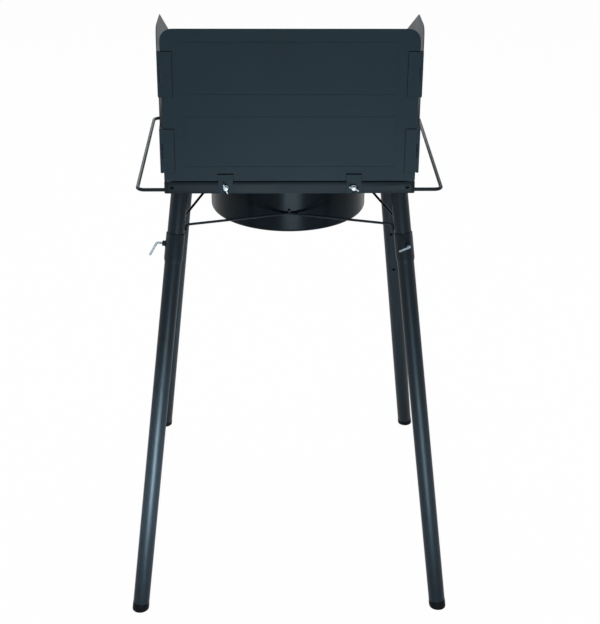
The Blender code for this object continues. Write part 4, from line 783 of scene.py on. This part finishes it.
def leg_matrix(corner):
    """Lays the local -Z axis along a leg, from the level of the skirt's lower edge."""
    sx, sy = CORNERS[corner]
    down = Vector((sx * LEG_SPLAY[0], sy * LEG_SPLAY[1], -LEG_TOP[2]))
    turn = Vector((0, 0, -1)).rotation_difference(down)
    return Matrix.Translation((sx * LEG_TOP[0], sy * LEG_TOP[1], LEG_TOP[2])) @ turn.to_matrix().to_4x4()


def slide_to_level(verts, matrix, level):
    """Moves points along the leg until they lie at a height above the floor."""
    rise = matrix.to_3x3().col[2].z
    for v in verts:
        v.co.z += (level - (matrix @ v.co).z) / rise


def clamp_joint(corner):
    """The joint of a leg's clamp screw."""
    return next(j for j in frame["joints"] if j["name"] == f"clamp_{corner}_turn")


def across_leg(matrix, direction):
    """A world direction in the leg's own coordinates, square to the leg."""
    out = matrix.to_3x3().inverted() @ Vector(direction)
    return Vector((out.x, out.y, 0)).normalized()


# %% Shape the legs
def weld_ring(name, radius, size, ripples, matrix):
    """A weld bead round an axis: a ring whose thickness swells with each puddle."""
    bm = bmesh.new()
    rows = []
    for turn in (math.tau * i / (ripples * 5) for i in range(ripples * 5)):
        swell = size * (0.92 + 0.16 * abs(math.sin(turn * ripples / 2)) + 0.05 * math.sin(turn * 3 + 1))
        row = []
        for a in (math.tau * k / 8 for k in range(8)):
            r = radius + swell * math.cos(a)
            row.append(bm.verts.new((r * math.cos(turn), r * math.sin(turn), swell * 0.8 * math.sin(a))))
        rows.append(row)
    return solid(name, skinned(bm, rows, True), "powder_coat", matrix)


def make_leg(corner):
    """The lower tube with its socket, boss and holes."""
    matrix = leg_matrix(corner)
    neck, end = SOCKET_END + 0.006, FOOT_TOP - 0.0003
    outline = [
        (SOCKET_RADIUS, -SOCKET_TOP), (SOCKET_RADIUS, -SOCKET_END), (LEG_RADIUS, -neck), (LEG_RADIUS, -end),
        (LEG_BORE, -end), (LEG_BORE, -neck), (SOCKET_BORE, -SOCKET_END), (SOCKET_BORE, -SOCKET_TOP),
    ]
    leg = lathed(f"leg_{corner}_fine", outline, "powder_coat", matrix, 0.0018, 4, LEG_SIDES, True)
    rear = across_leg(matrix, (0, -1, 0))
    carve(leg, *[rod("drill", HOLE_RADIUS, 0.010, 0.018, "powder_coat", matrix @ laid(rear, (0, 0, -depth)))
                 for depth in LEG_HOLES.get(corner, ())])
    out = across_leg(matrix, clamp_joint(corner)["axis"])
    place = Vector((0, 0, -BOSS_LEVEL))
    start = SOCKET_RADIUS - 0.0008
    ring = [(0.0045, start), (0.0045, BOSS_FACE), (0.0023, BOSS_FACE), (0.0023, start)]
    boss = lathed("boss", ring, "powder_coat", matrix @ laid(out, place), 0.0007, 3, 36, True)
    root = place + out * (SOCKET_RADIUS - 0.0006)
    bead = weld_ring("boss_weld", 0.0052, 0.0013, 26, matrix @ laid(out, root))
    return stands_for(merged(leg, boss, bead))


def make_foot(corner):
    """The plug in a leg's end, with a level sole."""
    matrix = leg_matrix(corner)
    plug, flange = LEG_BORE - 0.0003, LEG_RADIUS + 0.0004
    outline = [(plug - 0.001, 0.014 - FOOT_TOP), (plug, 0.013 - FOOT_TOP), (plug, -FOOT_TOP),
               (flange, -FOOT_TOP), (flange, 0.001 - LEG_LENGTH)]
    bm = turned(eased(outline, 0.0007), LEG_SIDES)
    low_end = [f for f in bm.faces if len(f.verts) > 4 and f.calc_center_median().z < -FOOT_TOP]
    bmesh.ops.delete(bm, geom=low_end, context="FACES")
    rim = list(bm.verts)[-LEG_SIDES:]
    slide_to_level(rim, matrix, 0.0012)
    rows = [rim]
    for share, level in ((0.985, 0.0005), (0.95, 0.0001), (0.90, 0.0), (0.60, 0.0), (0.56, 0.0008)):
        rows.append([bm.verts.new((v.co.x * share, v.co.y * share, v.co.z)) for v in rim])
        slide_to_level(rows[-1], matrix, level)
    skinned(bm, rows, first=False)
    return stands_for(solid(f"foot_{corner}_fine", bm, "moulded", matrix))


def make_stub(corner):
    """The tube welded under the table, cut level at its top."""
    matrix = leg_matrix(corner)
    low = 0.001 - SOCKET_END
    outline = [(LEG_RADIUS, 0.01), (LEG_RADIUS, low), (LEG_BORE, low), (LEG_BORE, 0.01)]
    bm = turned(eased(outline, 0.0004, 2, True), LEG_SIDES, True)
    slide_to_level([v for v in bm.verts if v.co.z > 0.005], matrix, DECK_UNDERSIDE - 0.0002)
    stub = solid(f"leg_stub_{corner}_fine", bm, "powder_coat", matrix)
    top = matrix @ Vector((0, 0, (DECK_UNDERSIDE - LEG_TOP[2]) / matrix.to_3x3().col[2].z))
    bead = weld_ring("stub_weld", LEG_RADIUS + 0.0008, 0.0016, 40,
                     Matrix.Translation(top - Vector((0, 0, 0.0014))))
    return stands_for(merged(stub, bead))


for corner in CORNERS:
    for make in (make_leg, make_foot, make_stub):
        print(make(corner).name, end=" ")
print()

# %% [markdown]
# ## The blind nuts
#
# Four threaded nuts are pressed in from behind at the skirt's ends, where accessories can be screwed on.
# Each is closed at its back, so its hole looks dark from outside. It is turned like the other round
# parts: a cup with a thin wall, whose open end lies against the skirt.

# %% Press in the blind nuts
SKIRT_INSIDE = 0.1888
NUT_PLACE = (0.1905, 0.7465)
NUT_OUTLINE = [(0.0045, 0.0), (0.0045, 0.0046), (0.0002, 0.0046), (0.0002, 0.0036), (0.0031, 0.0036),
               (0.0031, 0.0)]

for corner, (sx, sy) in CORNERS.items():
    place = laid((0, -sy, 0), (sx * NUT_PLACE[0], sy * SKIRT_INSIDE, NUT_PLACE[1]))
    nut = lathed(f"blind_nut_{corner}", NUT_OUTLINE, "powder_coat", place, 0.0003, 2, 40, True)
    belongs_to(nut, "table_frame")
print("blind nut triangles", triangles(nut))

# %% [markdown]
# ## The clamp screws
#
# Each clamp is one length of plated wire: a thread is cut on its end and the rest is bent aside as a
# lever. The CAD piece says where the lever points, because its farthest corner is the lever's end.

# %% Bend the clamp screws
CLAMP_WIRE = 0.0019
CLAMP_STEM, CLAMP_ARM, CLAMP_CURVE = 0.009, 0.025, 0.0045
CLAMP_BEND = math.radians(67)


def make_clamp(corner):
    """The threaded wire of one clamp."""
    name = f"clamp_screw_{corner}"
    axis = Vector(clamp_joint(corner)["axis"]).normalized()
    face = Vector(clamp_joint(corner)["pos_m"])
    far = max((v.co for v in NODES[name].data.vertices), key=lambda co: (co - face).cross(axis).length)
    aside = ((far - face) - axis * (far - face).dot(axis)).normalized()
    start = face - axis * (BOSS_FACE - LEG_RADIUS - 0.0003)
    bend = face + axis * CLAMP_STEM
    tip = bend + (axis * math.cos(CLAMP_BEND) + aside * math.sin(CLAMP_BEND)) * CLAMP_ARM
    lever = wire(f"{name}_fine", bent_path([start, bend, tip], [CLAMP_CURVE]), CLAMP_WIRE, "zinc_wire", 28)
    ridge = thread(CLAMP_WIRE - 0.0002, 0.0105, "zinc_wire", laid(axis, start + axis * 0.001), 0.0007)
    return stands_for(merged(lever, ridge))


for corner in CORNERS:
    clamp = make_clamp(corner)
print("clamp triangles", triangles(clamp))

# %% [markdown]
# ## The braces and the handles
#
# Three wires tie the stubs together and bear on the drum. A fourth would cross the gas pipe. Each is
# bent in at its middle, and its ends are turned down along the stubs and welded there. The two handles
# are thicker rods bent to a wide U, with their arms through the side skirt.

# %% Bend the wires
DRUM_RADIUS = 0.1355
BRACE_WIRE = 0.0021
BRACE_HEIGHT = 0.679
BRACE_BEND, BRACE_CURVE, BRACE_FOOT = 0.035, 0.005, 0.011
HANDLE_RADIUS, HANDLE_CURVE = 0.003, 0.012
HANDLE_ARM, HANDLE_END, HANDLE_REACH, HANDLE_HEIGHT = 0.1835, 0.193, 0.2475, 0.7402


def brace_contact(corner, middle):
    """Where a wire's middle line passes a stub, and the way down along the stub."""
    matrix = leg_matrix(corner)
    down = -matrix.to_3x3().col[2]
    here = matrix.translation + down * ((BRACE_HEIGHT - matrix.translation.z) / down.z)
    towards = middle - here
    towards -= down * towards.dot(down)
    return here + towards.normalized() * (LEG_RADIUS + BRACE_WIRE + 0.0003), down


def make_brace(name, first, second, facing):
    """One brace wire with its ends turned down along the stubs."""
    facing = Vector((*facing, 0))
    middle = facing * (DRUM_RADIUS + BRACE_WIRE + 0.0003) + Vector((0, 0, BRACE_HEIGHT))
    ends = [brace_contact(corner, middle)[0] for corner in (first, second)]
    half = (ends[0] - middle).angle(ends[1] - middle) / 2
    middle -= facing * (BRACE_BEND * (1 / math.sin(half) - 1))
    (end_a, down_a), (end_b, down_b) = (brace_contact(corner, middle) for corner in (first, second))
    points = [end_a + down_a * BRACE_FOOT, end_a, middle, end_b, end_b + down_b * BRACE_FOOT]
    path = bent_path(points, [BRACE_CURVE, BRACE_BEND, BRACE_CURVE])
    return stands_for(wire(f"{name}_fine", path, BRACE_WIRE, "powder_coat", 24))


def make_handle(name, side):
    """One handle rod."""
    points = [(side * x, HANDLE_ARM * arm, HANDLE_HEIGHT) for x, arm in (
        (HANDLE_END, -1), (HANDLE_REACH, -1), (HANDLE_REACH, 1), (HANDLE_END, 1))]
    path = bent_path(points, [HANDLE_CURVE, HANDLE_CURVE])
    return stands_for(wire(f"{name}_fine", path, HANDLE_RADIUS, "powder_coat", 32))


make_brace("brace_rear", "rear_left", "rear_right", (0, -1))
make_brace("brace_left", "rear_left", "front_left", (-1, 0))
brace = make_brace("brace_right", "rear_right", "front_right", (1, 0))
handles = make_handle("handle_left", -1), make_handle("handle_right", 1)
print("brace and handle triangles", triangles(brace, *handles))

# %% [markdown]
# ## The drum
#
# The drum is drawn from one sheet: a flange that rests on the deck, a plain wall, a rounded lower edge
# and a floor with an air opening. It is enamelled, so it is glossier than the table. Four bolts hold
# its flange. One bolt is made, and a tree sets four of them on the bolt circle.

# %% Draw the drum
DRUM_BOTTOM = 0.644
DRUM_TOP = 0.7515
DRUM_SHEET = 0.0012
AIR_OPENING = 0.058
FLANGE_WIDTH = 0.012
BOLT_CIRCLE = DRUM_RADIUS + 0.0063
PIPE_HOLE = 0.0175
PEG_LEVEL = 0.6834
GAS_AXIS = 0.684


def on_gas_axis():
    """Lays the Z axis along the gas axis, towards the cook."""
    return laid((0, 1, 0), (0, 0, GAS_AXIS))


def make_drum():
    """The drum with its pipe hole and the three pegs that the braces lie under."""
    t, r = DRUM_SHEET, DRUM_RADIUS
    floor, rim = DRUM_BOTTOM + t, r + FLANGE_WIDTH
    corners = [   # place and the radius of its easing
        ((rim, DRUM_TOP), 0.0004), ((rim, DRUM_TOP - t), 0.0004), ((r, DRUM_TOP - t), 0.0016),
        ((r, DRUM_BOTTOM), 0.005), ((AIR_OPENING, DRUM_BOTTOM), 0.0004), ((AIR_OPENING, floor), 0.0004),
        ((r - t, floor), 0.0038), ((r - t, DRUM_TOP), 0.0026),
    ]
    profile = []
    for i, (here, radius) in enumerate(corners):
        profile += eased([corners[i - 1][0], here, corners[(i + 1) % 8][0]], radius, 6)[1:-1]
    drum = solid("burner_drum_fine", turned(profile, 160, True), "enamel")
    carve(drum, rod("hole", PIPE_HOLE, 0.10, 0.16, "enamel", on_gas_axis(), 64))
    peg = [(0.002, r - t / 2), (0.002, r + 0.0045), (0.0002, r + 0.0045)]
    pegs = [lathed("peg", peg, "enamel", laid(facing, (0, 0, PEG_LEVEL)), 0.0006, sides=24)
            for facing in ((0, -1, 0), (1, 0, 0), (-1, 0, 0))]
    return stands_for(merged(drum, *pegs))


def hex_nut(name, radius, low, high, bore, material, matrix=None):
    """A hexagon nut whose corners are turned off at both faces."""
    nut = solid(name, turned([(radius, low), (radius, high)], 6), material, angle=20)
    ease = radius * 0.16
    rise = ease * 0.6
    outline = [(radius - ease, low), (radius, low + rise), (radius, high - rise), (radius - ease, high)]
    carve(nut, lathed("round", outline, material, sides=48), operation="INTERSECT")
    if bore:
        carve(nut, rod("bore", bore, low - 0.001, high + 0.001, material))
    shaded(nut.data, 25)
    if matrix is not None:
        nut.data.transform(matrix)
    return nut


def make_drum_bolts():
    """Four pan-head bolts with hexagon sockets, and their nuts under the deck."""
    head, nut = DRUM_TOP + 0.0003, DECK_UNDERSIDE - 0.0003
    dome = [(0.0019, nut), (0.0019, head), (0.0038, head), (0.0038, head + 0.0008), (0.0030, head + 0.0018),
            (0.0016, head + 0.0022), (0.0002, head + 0.0022)]
    bolt = lathed("drum_bolts", dome, "zinc", ease=0.0004, sides=40)
    carve(bolt, rod("socket", 0.0014, head + 0.0008, head + 0.003, "zinc", sides=6))
    merged(bolt, hex_nut("bolt_nut", 0.0038, nut - 0.003, nut, 0.0012, "zinc"))
    made = ringed("drum_bolts_fine", bolt, 4, BOLT_CIRCLE, math.pi / 4, "zinc")
    return stands_for(made, *[f"drum_bolt_{k}" for k in range(1, 5)])


print("drum and bolt triangles", triangles(make_drum(), make_drum_bolts()))

# %% [markdown]
# ## The grate
#
# The grate follows a rule: a frame of flat bar, two cross bars and nine round rods at one pitch, with a
# weld at each crossing. A single tree makes all of it from its sizes. The welds are small lumps whose
# size and turn vary a little, from a fixed seed.

# %% Grow the grate
GRATE_SIZES = {
    "Half X": 0.188, "Half Y": 0.175, "Low": 0.7503, "Bar Width": 0.0035, "Bar Height": 0.014,
    "Cross Height": 0.009, "Cross Offset": 0.062, "Rod Radius": 0.003, "Rods": 9, "Corner": 0.010,
    "Weld": 0.0016, "Seed": 11,
}


def grate_tree():
    """A welded grate from its sizes."""
    kinds = {label: "Int" if isinstance(size, int) else "Float" for label, size in GRATE_SIZES.items()}
    tree, size = geometry_tree("welded_grate", {**kinds, "Material": "Material"})

    times, plus, minus = (partial(maths, tree, kind) for kind in ("MULTIPLY", "ADD", "SUBTRACT"))

    def vector(x=0.0, y=0.0, z=0.0):
        return step(tree, "ShaderNodeCombineXYZ", {"X": x, "Y": y, "Z": z}).outputs[0]

    def line(x, y):
        ends = {"Start": vector(times(x, -1.0), y[0]), "End": vector(x, y[1])}
        return geo(tree, "CurvePrimitiveLine", ends)

    def rounded(width, height, radius, count):
        flat = geo(tree, "CurvePrimitiveQuadrilateral", {"Width": width, "Height": height})
        return geo(tree, "FilletCurve", {"Curve": flat, "Radius": radius, "Count": count}, mode="POLY")

    def bar(curve, height, level):
        upright = geo(tree, "SetCurveNormal", {"Curve": curve}, mode="Z_UP")
        section = rounded(size["Bar Width"], height, 0.0005, 3)
        swept = geo(tree, "CurveToMesh", {"Curve": upright, "Profile Curve": section, "Fill Caps": True})
        return geo(tree, "Transform", {"Geometry": swept, "Translation": vector(z=level)})

    def copies(points, instance, **values):
        return geo(tree, "InstanceOnPoints", {"Points": points, "Instance": instance, **values})

    def along_x(count, start, offset=(0, 0, 0)):
        values = {"Count": count, "Start Location": start, "Offset": offset}
        return geo(tree, "MeshLine", values, mode="OFFSET")

    def random(low, high, seed):
        values = {0: low, 1: high, "Seed": seed}
        return step(tree, "FunctionNodeRandomValue", values, data_type="FLOAT_VECTOR").outputs[0]

    rod = size["Rod Radius"]
    half_bar = times(size["Bar Width"], 0.5)
    inner_x, inner_y = minus(size["Half X"], half_bar), minus(size["Half Y"], half_bar)
    loop = rounded(times(inner_x, 2.0), times(inner_y, 2.0), size["Corner"], 8)
    top = plus(size["Low"], size["Bar Height"])
    parts = [bar(loop, size["Bar Height"], plus(size["Low"], times(size["Bar Height"], 0.5)))]
    for sign in (-1.0, 1.0):
        y = times(size["Cross Offset"], sign)
        level = minus(top, times(size["Cross Height"], 0.5))
        parts.append(bar(line(inner_x, (y, y)), size["Cross Height"], level))
    span = minus(minus(size["Half X"], size["Corner"]), rod)
    pitch = maths(tree, "DIVIDE", times(span, 2.0), minus(size["Rods"], 1.0))
    rod_level = plus(minus(top, 0.001), rod)
    places = along_x(size["Rods"], vector(times(span, -1.0), 0.0, rod_level), vector(pitch))
    reach = minus(size["Half Y"], plus(rod, 0.0004))
    run = line(0.0, (times(reach, -1.0), reach))
    parts.append(copies(places, joined(tree, round_rod(tree, run, rod, 20))))
    lump = geo(tree, "MeshIcoSphere", {"Radius": size["Weld"], "Subdivisions": 3})
    front = minus(size["Half Y"], times(size["Bar Width"], 0.9))
    dots = [along_x(1, vector(times(times(rod, 0.62), sign), y, times(rod, -0.62)))
            for y in (front, times(front, -1.0), size["Cross Offset"], times(size["Cross Offset"], -1.0))
            for sign in (-1.0, 1.0)]
    welds = geo(tree, "RealizeInstances", {"Geometry": copies(places, joined(tree, dots))})
    swell = random((0.85, 0.95, 0.6), (1.15, 1.35, 0.9), size["Seed"])
    turn = random((-0.2, -0.2, -0.4), (0.2, 0.2, 0.4), 3)
    parts.append(copies(welds, lump, Scale=swell, Rotation=turn))
    return real_tree(tree, joined(tree, parts), size["Material"], smooth=False)


grate = grown("cooking_grate_fine", grate_tree(), {**GRATE_SIZES, "Material": FINISHES["grate_black"]})
shaded(grate.data)
stands_for(grate)
print("grate triangles", triangles(grate))

# %% [markdown]
# ## The burner
#
# The burner is cast iron in two pieces. The bowl takes the gas and air from the pipe at its side. The
# cap sits on the rim, and the notches in its skirt are the flame ports. The notches are copies of one
# cutter, set round the cap by the ring tree and then cut out. Castings keep soft edges and a rough skin.

# %% Cast the burner
BURNER_RADIUS = 0.052
BURNER_BASE = 0.6573
BURNER_RIM = 0.7043
PORT_COUNT = 32
PIPE_BORE = 0.0138
BOLT_LOW, BOLT_SHOULDER, BOLT_END = 0.6507, 0.6547, 0.7193


def box_shape(x, y, z):
    """A block between three pairs of coordinates."""
    bm = bmesh.new()
    bmesh.ops.create_cube(bm, size=1)
    for v in bm.verts:
        v.co = Vector([low + (c + 0.5) * (high - low) for c, (low, high) in zip(v.co, (x, y, z))])
    return bm


def make_bowl():
    """The cast bowl with its foot and pipe socket."""
    r, base, rim = BURNER_RADIUS, BURNER_BASE, BURNER_RIM
    neck = base + 0.010
    outline = [
        (0.003, base), (0.014, base), (0.014, neck - 0.002), (r * 0.62, neck + 0.002),
        (r * 0.92, neck + 0.010), (r, neck + 0.020), (r, rim), (r - 0.0045, rim), (r - 0.0045, neck + 0.020),
        (r * 0.86, neck + 0.012), (r * 0.58, neck + 0.005), (0.014, neck + 0.004), (0.003, neck + 0.004),
    ]
    bowl = lathed("burner_bowl_fine", outline, "casting", ease=0.004, steps=5, sides=128)
    outline = [(0.0195, r - 0.006), (0.0185, r + 0.002), (0.0185, 0.064), (0.0165, 0.064)]
    carve(bowl, lathed("socket", outline, "casting", on_gas_axis(), 0.001), operation="UNION")
    return stands_for(carve(bowl, rod("bore", PIPE_BORE, r * 0.7, 0.075, "casting", on_gas_axis(), 64)))


def make_cap():
    """The cast cap with its ring of flame ports."""
    r, low = BURNER_RADIUS, BURNER_RIM + 0.0003
    inner, crown = r - 0.006, low + 0.019
    outline = [
        (inner, low), (r, low), (r, low + 0.011), (r * 0.90, crown - 0.004), (r * 0.55, crown - 0.001),
        (0.0085, crown), (0.0002, crown), (0.0002, crown - 0.013), (0.0085, crown - 0.013),
        (0.0085, crown - 0.0055), (inner * 0.85, crown - 0.008), (inner, low + 0.009),
    ]
    cap = lathed("burner_cap_fine", outline, "casting", None, 0.0014, 4, 192, True)
    block = box_shape((-0.006, 0.006), (-0.0015, 0.0015), (low - 0.002, low + 0.0055))
    notch = solid("notch", block, "casting")
    carve(cap, ringed("notches", notch, PORT_COUNT, r - 0.003, math.pi / PORT_COUNT, "casting"))
    return stands_for(cap)


def make_burner_bolt():
    """The hexagon head of the bolt under the strap, and its shank."""
    head = hex_nut("burner_bolt_fine", 0.0052, BOLT_LOW, BOLT_SHOULDER, 0, "zinc")
    return stands_for(merged(head, rod("shank", 0.003, BOLT_SHOULDER, BOLT_END, "zinc")))


print("burner triangles", triangles(make_bowl(), make_cap(), make_burner_bolt()))

# %% [markdown]
# ## The gas train
#
# Gas leaves a brass jet inside the mouth of the mixer tube and draws in air through three windows, which
# a shutter plate can close. Behind it are the valve, its stem through the panel and the inlet for a
# hose. The brass parts are turned and milled, so they have crisp chamfers, and threads where they screw.

# %% Turn the gas parts
MIXER_END = 0.150
VALVE_MIDDLE = 0.16555
WINDOW_HALF = math.radians(29)


def sector(inner, outer, start, end, low, high, steps=12):
    """A block between two arcs."""
    bm = bmesh.new()
    turns = [start + (end - start) * i / steps for i in range(steps + 1)]
    ring = [(outer * math.cos(a), outer * math.sin(a)) for a in turns]
    ring += [(inner * math.cos(a), inner * math.sin(a)) for a in reversed(turns)]
    face = bm.faces.new([bm.verts.new((x, y, low)) for x, y in ring])
    moved = bmesh.ops.extrude_face_region(bm, geom=[face])["geom"]
    top = [item for item in moved if isinstance(item, bmesh.types.BMVert)]
    bmesh.ops.translate(bm, vec=(0, 0, high - low), verts=top)
    return bm


def make_mixer():
    """The mixer tube with its bell and its windowed mouth."""
    bell, plate = MIXER_END - 0.022, MIXER_END - 0.0025
    outline = [
        (0.0135, 0.050), (0.0135, bell), (0.0165, bell + 0.007), (0.0205, bell + 0.015), (0.0205, MIXER_END),
        (0.0048, MIXER_END), (0.0048, plate), (0.0185, plate), (0.0185, bell + 0.016), (0.0127, bell + 0.008),
        (0.0097, bell - 0.010), (0.0107, 0.050),
    ]
    mixer = lathed("mixer_tube_fine", outline, "casting", on_gas_axis(), 0.002, 4, 96, True)
    windows = []
    for middle in (math.tau * k / 3 + math.pi / 2 for k in range(3)):
        arc = (middle - WINDOW_HALF, middle + WINDOW_HALF)
        shape = sector(0.008, 0.0165, *arc, plate - 0.001, MIXER_END + 0.001)
        windows.append(solid("window", shape, "casting", on_gas_axis()))
    return stands_for(carve(mixer, *windows))


def make_valve(side):
    """The valve body with its collar, its threaded neck through the panel and its branch."""
    outline = [
        (0.0079, 0.1563), (0.0105, 0.1583), (0.0105, 0.1728), (0.0080, 0.1748), (0.0080, 0.1864),
        (0.0055, 0.1864), (0.0055, 0.1935), (0.0034, 0.1935), (0.0034, 0.190),
    ]
    valve = lathed("gas_valve_fine", outline, "brass", on_gas_axis(), 0.0005, sides=72)
    outline = [(0.0062, 0.004), (0.0062, 0.018), (0.005, 0.018)]
    branch = lathed("branch", outline, "brass", side, 0.0004, sides=48)
    ridge = thread(0.0055, 0.0062, "brass", on_gas_axis() @ lifted(0.1868), 0.0009)
    return stands_for(merged(valve, branch, ridge))


def make_inlet(side):
    """The hexagon and the threaded stub that a hose screws on."""
    inlet = hex_nut("gas_inlet_fine", 0.0090, 0.0183, 0.0263, 0, "brass", side)
    outline = [(0.0056, 0.0261), (0.0056, 0.0332), (0.0050, 0.034), (0.0034, 0.034), (0.0034, 0.024),
               (0.0002, 0.024)]
    stub = lathed("stub", outline, "brass", side, 0.0003, sides=48)
    ridge = thread(0.0056, 0.0058, "brass", side @ lifted(0.0268), 0.0010)
    return stands_for(merged(inlet, stub, ridge))


inlet_side = laid((-1, 0, 0), (0, VALVE_MIDDLE, GAS_AXIS))
make_mixer()
gas_parts = make_valve(inlet_side), make_inlet(inlet_side)
nut = stands_for(hex_nut("valve_nut_fine", 0.0090, 0.1885, 0.1925, 0.0059, "brass", on_gas_axis()))
print("gas part triangles", triangles(*gas_parts, nut))

# %% [markdown]
# ## The knob and the panel screws
#
# The knob is moulded: a round base with fine grip ribs and a bar to turn it by. A thin raised line on
# the bar shows which way it points. Two slotted screws hold the panel to the front skirt.

# %% Mould the knob
KNOB_BACK = 0.196
KNOB_RADIUS = 0.0191
KNOB_BASE = 0.0065
KNOB_RIBS = 48


def rounded_bar(half_x, half_y, low, high, taper):
    """A bar with soft edges that narrows towards its top."""
    bm = box_shape((-half_x, half_x), (-half_y, half_y), (low, high))
    middle = (low + high) / 2
    for v in bm.verts:
        if v.co.z > middle:
            v.co.x *= taper
            v.co.y *= 0.5 + taper / 2
    edges = [e for e in bm.edges if max(v.co.z for v in e.verts) > middle]
    bmesh.ops.bevel(bm, geom=edges, offset=0.0016, segments=5, profile=0.6, affect="EDGES")
    return bm


def make_knob():
    """The knob with its ribs, bar, pointer line and blind hole."""
    matrix = laid((0, 1, 0), (0, KNOB_BACK, GAS_AXIS))
    outline = [(0.0030, 0.0105), (0.0030, 0.0), (KNOB_RADIUS, 0.0), (KNOB_RADIUS, KNOB_BASE),
               (0.0002, KNOB_BASE)]
    knob = lathed("control_knob_fine", eased(outline, 0.0012, 4)[1:], "moulded", matrix, sides=96)
    rib = solid("rib", box_shape((-0.0008, 0.0004), (-0.0004, 0.0004), (0.0008, 0.0052)), "moulded")
    ribs = ringed("ribs", rib, KNOB_RIBS, KNOB_RADIUS, 0.0, "moulded", matrix)
    bar = solid("bar", rounded_bar(0.0055, 0.0177, 0.0055, 0.019, 0.72), "moulded", matrix)
    ridge = box_shape((-0.0005, 0.0005), (-0.0125, -0.004), (0.0186, 0.01905))
    line = solid("line", ridge, "pointer", matrix)
    return stands_for(merged(knob, ribs, bar, line))


print("knob triangles", triangles(make_knob()))

# %% Drive the panel screws
SCREW_PLACE = (0.044, 0.7465)
SLOT_TURN = 0.6
SCREW_OUTLINE = [
    (0.0018, 0.1837), (0.0018, 0.1903), (0.0040, 0.1903), (0.0040, 0.1912), (0.0030, 0.1924),
    (0.0002, 0.1927),
]
for side, name in ((-1, "panel_screw_left"), (1, "panel_screw_right")):
    matrix = laid((0, 1, 0), (side * SCREW_PLACE[0], 0, SCREW_PLACE[1]))
    screw = lathed(f"{name}_fine", SCREW_OUTLINE, "zinc", matrix, 0.0005, sides=40)
    slot = box_shape((-0.0005, 0.0005), (-0.005, 0.005), (0.1917, 0.194))
    carve(screw, solid("slot", slot, "zinc", matrix @ Matrix.Rotation(SLOT_TURN * side, 4, "Z")))
    ridge = thread(0.0018, 0.0028, "zinc", matrix @ lifted(0.1838), 0.0007)
    stands_for(merged(screw, ridge))
print("panel screw triangles", triangles(screw))

# %% [markdown]
# ## The wing screws
#
# Two wing screws clamp the screen's clips to the rear skirt. They are cast and zinc plated, and they are
# the brightest things on the stove. Each has a round hub, two ears that lean outward, and a thread that
# ends in the nut welded inside the skirt. How far each is turned is read from its CAD piece.

# %% Cast the wing screws
WING_PLACE = (0.1035, -0.190, 0.7465)
WING_WASHER = 0.0019


def wing_ear(side):
    """One ear: a leaf that grows out of the hub, thick at the root and thin at the rim."""
    bm = bmesh.new()
    rows = []
    for t in (k / 12 for k in range(13)):
        x = side * (0.0022 + 0.0063 * t)
        low = 0.0014 + 0.0024 * t**1.2
        high = 0.0052 + 0.0033 * math.sin(min(1.0, t * 1.15) * math.pi / 2)
        pinch = 1.0 - 0.85 * max(0.0, t - 0.72) / 0.28
        middle, half = (low + high) / 2, (high - low) / 2 * math.sqrt(max(0.02, pinch))
        thick = 0.0014 * (1.15 - 0.35 * t)
        turns = [math.tau * k / 16 for k in range(16)]
        rows.append([bm.verts.new((x, thick * math.sin(a), middle + half * math.cos(a))) for a in turns])
    return skinned(bm, rows)


def make_wing_screw(side_name, side):
    """One wing screw, turned as its CAD piece is."""
    node = f"wing_screw_{side_name}"
    base = laid((0, -1, 0), (side * WING_PLACE[0], *WING_PLACE[1:]))
    local = (base.inverted() @ v.co for v in NODES[node].data.vertices)
    far = max(local, key=lambda co: co.x**2 + co.y**2)
    matrix = base @ Matrix.Rotation(math.atan2(far.y, far.x), 4, "Z")
    hub = [(0.0024, WING_WASHER), (0.0044, WING_WASHER), (0.0044, WING_WASHER + 0.0006),
           (0.0036, WING_WASHER + 0.0014), (0.0034, 0.0082), (0.0002, 0.0088)]
    body = lathed(f"{node}_fine", hub, "zinc", matrix, 0.0007, 4, 48)
    shank = rod("shank", 0.0022, -0.0085, WING_WASHER + 0.001, "zinc", matrix)
    ears = [solid("ear", wing_ear(k), "zinc", matrix @ lifted(WING_WASHER), 60) for k in (-1, 1)]
    ridge = thread(0.0022, 0.0085, "zinc", matrix @ lifted(-0.0083))
    return stands_for(merged(body, shank, ridge, *ears))


print("wing screw triangles", triangles(make_wing_screw("left", -1), make_wing_screw("right", 1)))

# %% [markdown]
# ## The hinge pins
#
# Each side screen folds on two pins. A pin is a plain rod with a domed head at each end, which is set
# after the knuckles are threaded on it.

# %% Set the hinge pins
PIN_PLACE = (0.2052, -0.1888)
PIN_END = [(0.0002, 0.0), (0.0017, 0.0), (0.0022, 0.0004), (0.0022, 0.0008), (0.0014, 0.0008)]

for side_name, side in (("left", -1), ("right", 1)):
    for level in ("lower", "upper"):
        node = f"hinge_pin_{side_name}_{level}"
        low, high = (corner[2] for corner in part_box(node))
        outline = [(r, low + z) for r, z in PIN_END] + [(r, high - z) for r, z in reversed(PIN_END)]
        place = Matrix.Translation((side * PIN_PLACE[0], PIN_PLACE[1], 0))
        stands_for(lathed(f"{node}_fine", outline, "powder_coat", place, 0.0003, 2, 32))
print("pin", round(high - low, 4))
